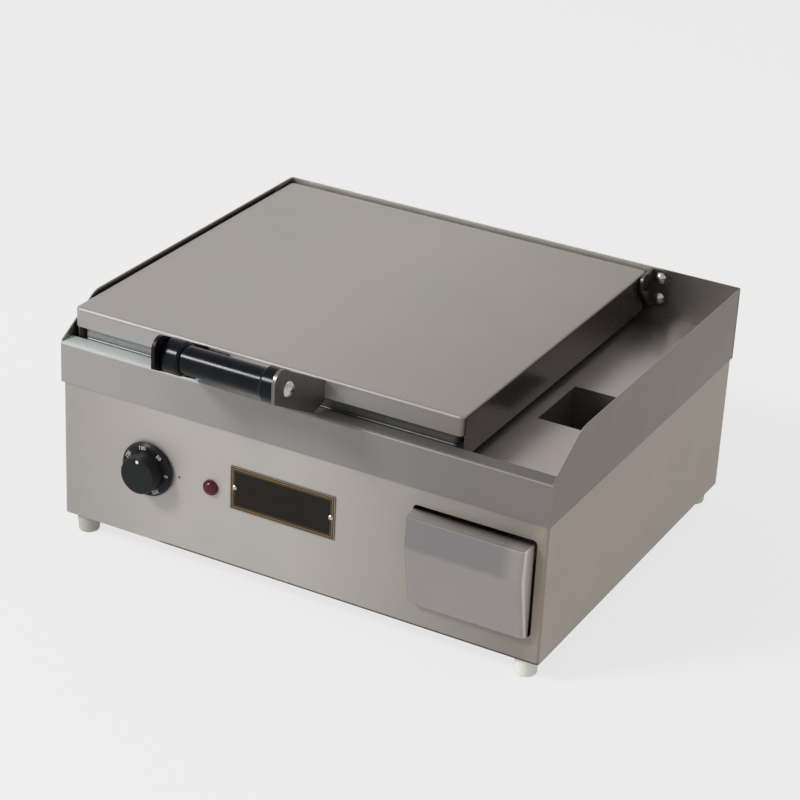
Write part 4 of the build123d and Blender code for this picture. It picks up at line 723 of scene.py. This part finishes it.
def make_floor():
    """The pale floor, which keeps a faint shadow of the object."""
    select_none()
    bpy.ops.mesh.primitive_grid_add(x_subdivisions=2, y_subdivisions=2, size=FLOOR_SIZE, location=(0, 0, 0))
    floor = bpy.context.active_object
    floor.name = "studio_floor"
    finish = Finish("studio_floor", roughness=0.9)
    clouds = finish.noise(FLOOR_CLOUDS, detail=1.0)
    dull = shaded(FLOOR_COLOUR, FLOOR_MOTTLE)
    finish.colour(finish.blend(finish.share(clouds), FLOOR_COLOUR, dull))
    finish.shader.inputs["Specular IOR Level"].default_value = 0.0
    glow = finish.nodes.new("ShaderNodeEmission")
    glow.inputs["Color"].default_value = (*FLOOR_COLOUR, 1.0)
    share = finish.nodes.new("ShaderNodeMath")
    share.operation = "MULTIPLY"
    share.inputs[1].default_value = FLOOR_GLOW
    finish.links.new(seen_directly(finish.nodes, finish.links), share.inputs[0])
    mix = finish.nodes.new("ShaderNodeMixShader")
    finish.links.new(share.outputs["Value"], mix.inputs["Fac"])
    finish.links.new(finish.shader.outputs["BSDF"], mix.inputs[1])
    finish.links.new(glow.outputs["Emission"], mix.inputs[2])
    finish.links.new(mix.outputs["Shader"], finish.nodes["Material Output"].inputs["Surface"])
    wear(floor, finish.material)


def make_surroundings():
    """Soft even light from all round, and a pale backdrop that darkens upwards where it is seen."""
    world = bpy.data.worlds.new("studio")
    bpy.context.scene.world = world
    world.use_nodes = True
    nodes = world.node_tree.nodes
    links = world.node_tree.links
    lighting = nodes["Background"]
    lighting.inputs["Color"].default_value = (*WORLD_COLOUR, 1.0)
    lighting.inputs["Strength"].default_value = WORLD_STRENGTH
    place = nodes.new("ShaderNodeTexCoord")
    split = nodes.new("ShaderNodeSeparateXYZ")
    links.new(place.outputs["Generated"], split.inputs["Vector"])
    height = nodes.new("ShaderNodeMapRange")
    height.inputs["From Min"].default_value = SKY_BEGINS
    height.inputs["From Max"].default_value = SKY_ENDS
    links.new(split.outputs["Z"], height.inputs["Value"])
    shade = nodes.new("ShaderNodeMix")
    shade.data_type = "RGBA"
    links.new(height.outputs["Result"], shade.inputs["Factor"])
    low_colour, high_colour = colour_sockets(shade.inputs)
    low_colour.default_value = (*BACKDROP_COLOUR, 1.0)
    high_colour.default_value = (*SKY_COLOUR, 1.0)
    backdrop = nodes.new("ShaderNodeBackground")
    backdrop.inputs["Strength"].default_value = 1.0
    links.new(colour_sockets(shade.outputs)[0], backdrop.inputs["Color"])
    choice = nodes.new("ShaderNodeMixShader")
    links.new(seen_directly(nodes, links), choice.inputs["Fac"])
    links.new(lighting.outputs["Background"], choice.inputs[1])
    links.new(backdrop.outputs["Background"], choice.inputs[2])
    links.new(choice.outputs["Shader"], nodes["World Output"].inputs["Surface"])


def make_studio():
    """Pale floor, pale surroundings and soft light, the most of it from the upper left front."""
    make_floor()
    make_surroundings()
    for lamp in LAMPS:
        soft_light(*lamp)
    bpy.context.scene.view_settings.view_transform = "Standard"


def make_details(finishes):
    """The small printed and moulded things that the solids don't carry."""
    make_dial_numbers(finishes["white print"])
    make_pointer_dot(finishes["white print"])
    make_index_mark(finishes["black print"])
    plate_frame("nameplate_rim", finishes["pale edge"], 0.0, PLATE_RIM_WIDTH)
    plate_frame("nameplate_border", finishes["gilt"], PLATE_BORDER_INSET, PLATE_BORDER_WIDTH)
    plate_frame("nameplate_line", finishes["gilt"], PLATE_LINE_INSET, PLATE_LINE_WIDTH)
    make_gland_ribs(finishes["nylon"])


def main():
    """Builds the scene around the frame."""
    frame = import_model()
    finishes = make_finishes()
    dress_nodes(frame, finishes)
    make_details(finishes)
    make_studio()
    make_camera()


main()
